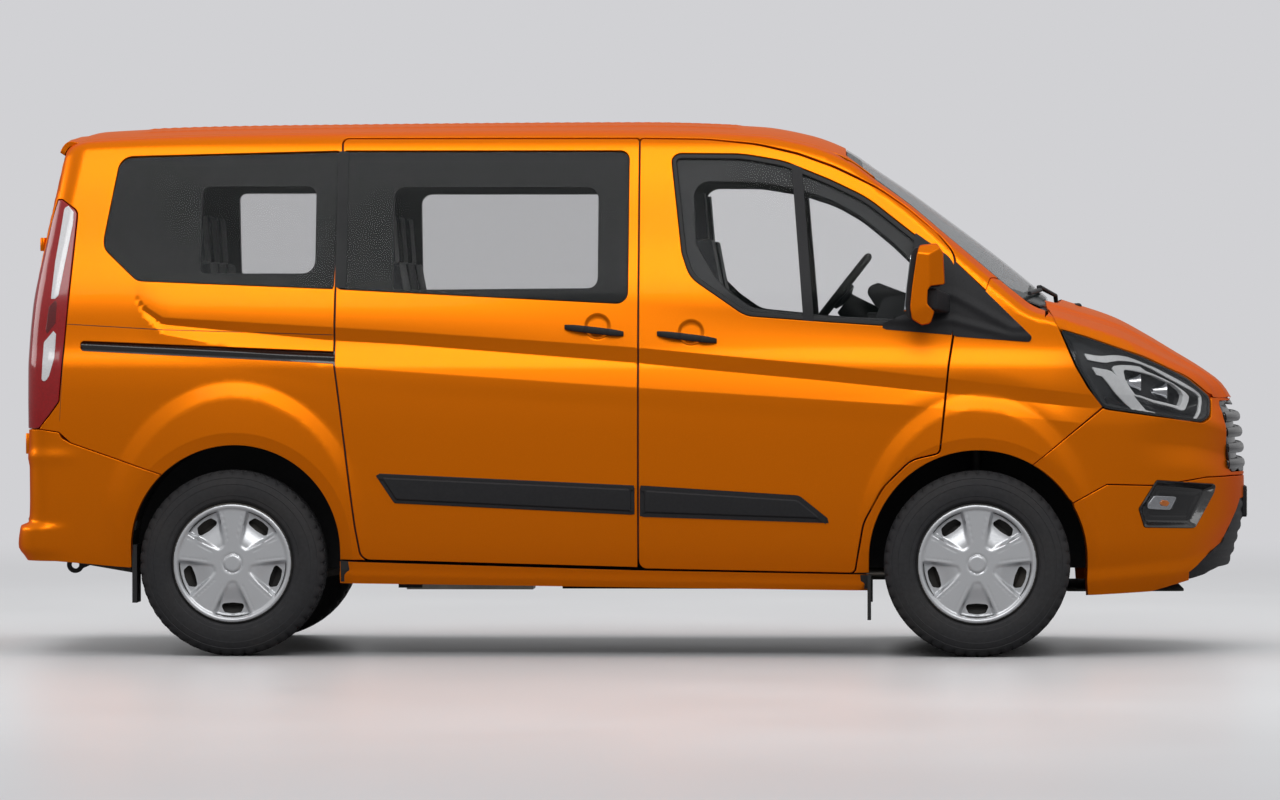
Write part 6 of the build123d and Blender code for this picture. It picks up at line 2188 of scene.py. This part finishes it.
# ---- Camera, lights and stage ----
CAMERA_PLACE = (1.050, -29.35, 1.339)
CAMERA_AIM = (0.046, -0.95, 0.992)
CAMERA_LENS = 207.0
camera = bpy.data.objects.new("camera", bpy.data.cameras.new("camera"))
bpy.context.scene.collection.objects.link(camera)
bpy.context.scene.camera = camera
camera.location = CAMERA_PLACE
camera.data.sensor_width = 36.0
camera.data.lens = CAMERA_LENS
camera.data.clip_end = 200.0
aim = Vector(CAMERA_AIM) - camera.location
camera.rotation_euler = aim.to_track_quat("-Z", "Y").to_euler()

STUDIO_GREY = srgb(209, 209, 212)
FLOOR_PAINTED_SHADE = (0.13, 0.13, 0.135, 1.0)  # the floor as the pieces see it, darker than the lit floor: painted shade standing in for the van's shadow round its foot
DOME = (0.2, 0.7)  # what they see of the world, at the horizon and above
WORLD_REFLECTED, FLOOR_REFLECTED = 0.35, 0.3  # the background's share in their reflections
FLOOR_FADE = (3.0, 14.0)  # how far out the floor turns into the background, in metres
FLOOR_HALF = 60.0
scene = bpy.context.scene
scene.view_settings.view_transform = "Standard"


def area_light(name, place, target, size, power, reflected=True):
    data = bpy.data.lights.new(name, "AREA")
    data.shape = "RECTANGLE"
    data.size, data.size_y = size
    data.energy = power
    lamp = bpy.data.objects.new(name, data)
    scene.collection.objects.link(lamp)
    lamp.visible_glossy = reflected
    lamp.location = place
    lamp.rotation_euler = (Vector(target) - Vector(place)).to_track_quat("-Z", "Y").to_euler()


area_light("overhead_softbox", (0, 0, 6.5), (0, 0, 0), (9.0, 5.0), 240, False)
area_light("right_softbox", (0.5, -7.5, 6.2), (0, 0, 0.9), (9.0, 3.2), 310)
area_light("left_softbox", (-0.5, 6.4, 7.6), (0, 0, 0.9), (9.0, 3.2), 230, False)
area_light("front_softbox", (8.5, 0, 4.2), (0, 0, 0.9), (4.0, 2.4), 100, False)
area_light("rear_softbox", (-8.5, 0, 3.2), (0, 0, 0.9), (4.0, 2.4), 100)


def direct_rays(nodes, links, reflected):
    """A socket that is 1 for what the camera sees directly or in glass, and less in a reflection."""
    path = nodes.new("ShaderNodeLightPath")
    total = path.outputs["Is Camera Ray"]
    for kind, share in (("Is Glossy Ray", reflected), ("Is Transmission Ray", 1.0)):
        part = nodes.new("ShaderNodeMath")
        part.operation = "MULTIPLY"
        part.inputs[1].default_value = share
        links.new(path.outputs[kind], part.inputs[0])
        either = nodes.new("ShaderNodeMath")
        either.operation = "MAXIMUM"
        links.new(total, either.inputs[0])
        links.new(part.outputs[0], either.inputs[1])
        total = either.outputs[0]
    return total


floor_mesh = bpy.data.meshes.new("studio_floor")
floor_corners = [(x * FLOOR_HALF, y * FLOOR_HALF, 0) for x, y in ((-1, -1), (1, -1), (1, 1), (-1, 1))]
floor_mesh.from_pydata(floor_corners, [], [(0, 1, 2, 3)])
floor = bpy.data.objects.new("studio_floor", floor_mesh)
scene.collection.objects.link(floor)
floor.location.z = -0.0005
floor_mat = material("studio_floor", srgb(205, 206, 208), 0.32, vary=0.02, scale=0.6, rough_vary=0.06)
nodes, links = floor_mat.node_tree.nodes, floor_mat.node_tree.links
far = nodes.new("ShaderNodeMapRange")
far.interpolation_type = "SMOOTHSTEP"
far.inputs["From Min"].default_value, far.inputs["From Max"].default_value = FLOOR_FADE
reach = nodes.new("ShaderNodeVectorMath")
reach.operation = "LENGTH"
links.new(nodes["Texture Coordinate"].outputs["Object"], reach.inputs[0])
links.new(reach.outputs["Value"], far.inputs["Value"])
glow = nodes.new("ShaderNodeEmission")
glow.inputs["Color"].default_value = STUDIO_GREY
blend = nodes.new("ShaderNodeMixShader")
links.new(far.outputs["Result"], blend.inputs["Fac"])
# Rays from the pieces meet a darker floor than the camera does: painted shade, which darkens the lower body
# where it reflects the floor
painted_shade_floor = nodes.new("ShaderNodeBsdfDiffuse")
painted_shade_floor.inputs["Color"].default_value = FLOOR_PAINTED_SHADE
seen_floor = nodes.new("ShaderNodeMixShader")
links.new(direct_rays(nodes, links, FLOOR_REFLECTED), seen_floor.inputs["Fac"])
links.new(painted_shade_floor.outputs["BSDF"], seen_floor.inputs[1])
links.new(blend.outputs["Shader"], seen_floor.inputs[2])
links.new(nodes["Principled BSDF"].outputs["BSDF"], blend.inputs[1])
links.new(glow.outputs["Emission"], blend.inputs[2])
links.new(seen_floor.outputs["Shader"], nodes["Material Output"].inputs["Surface"])
floor_mesh.materials.append(floor_mat)

world = bpy.data.worlds.new("studio")
scene.world = world
world.use_nodes = True
nodes, links = world.node_tree.nodes, world.node_tree.links
background = nodes["Background"]
seen = direct_rays(nodes, links, WORLD_REFLECTED)
# The pieces are lit by a dome that is darker near the horizon.
sky = nodes.new("ShaderNodeTexCoord")
height = nodes.new("ShaderNodeSeparateXYZ")
links.new(sky.outputs["Generated"], height.inputs["Vector"])
dome = nodes.new("ShaderNodeMapRange")
dome.interpolation_type = "SMOOTHSTEP"
dome.inputs["From Min"].default_value = 0.0
dome.inputs["From Max"].default_value = 0.6
dome.inputs["To Min"].default_value, dome.inputs["To Max"].default_value = DOME
links.new(height.outputs["Z"], dome.inputs["Value"])
mix = nodes.new("ShaderNodeMix")
mix.data_type = "RGBA"
links.new(dome.outputs["Result"], mix.inputs["A"])
mix.inputs["B"].default_value = STUDIO_GREY
links.new(seen, mix.inputs["Factor"])
links.new(mix.outputs["Result"], background.inputs["Color"])
background.inputs["Strength"].default_value = 1.0
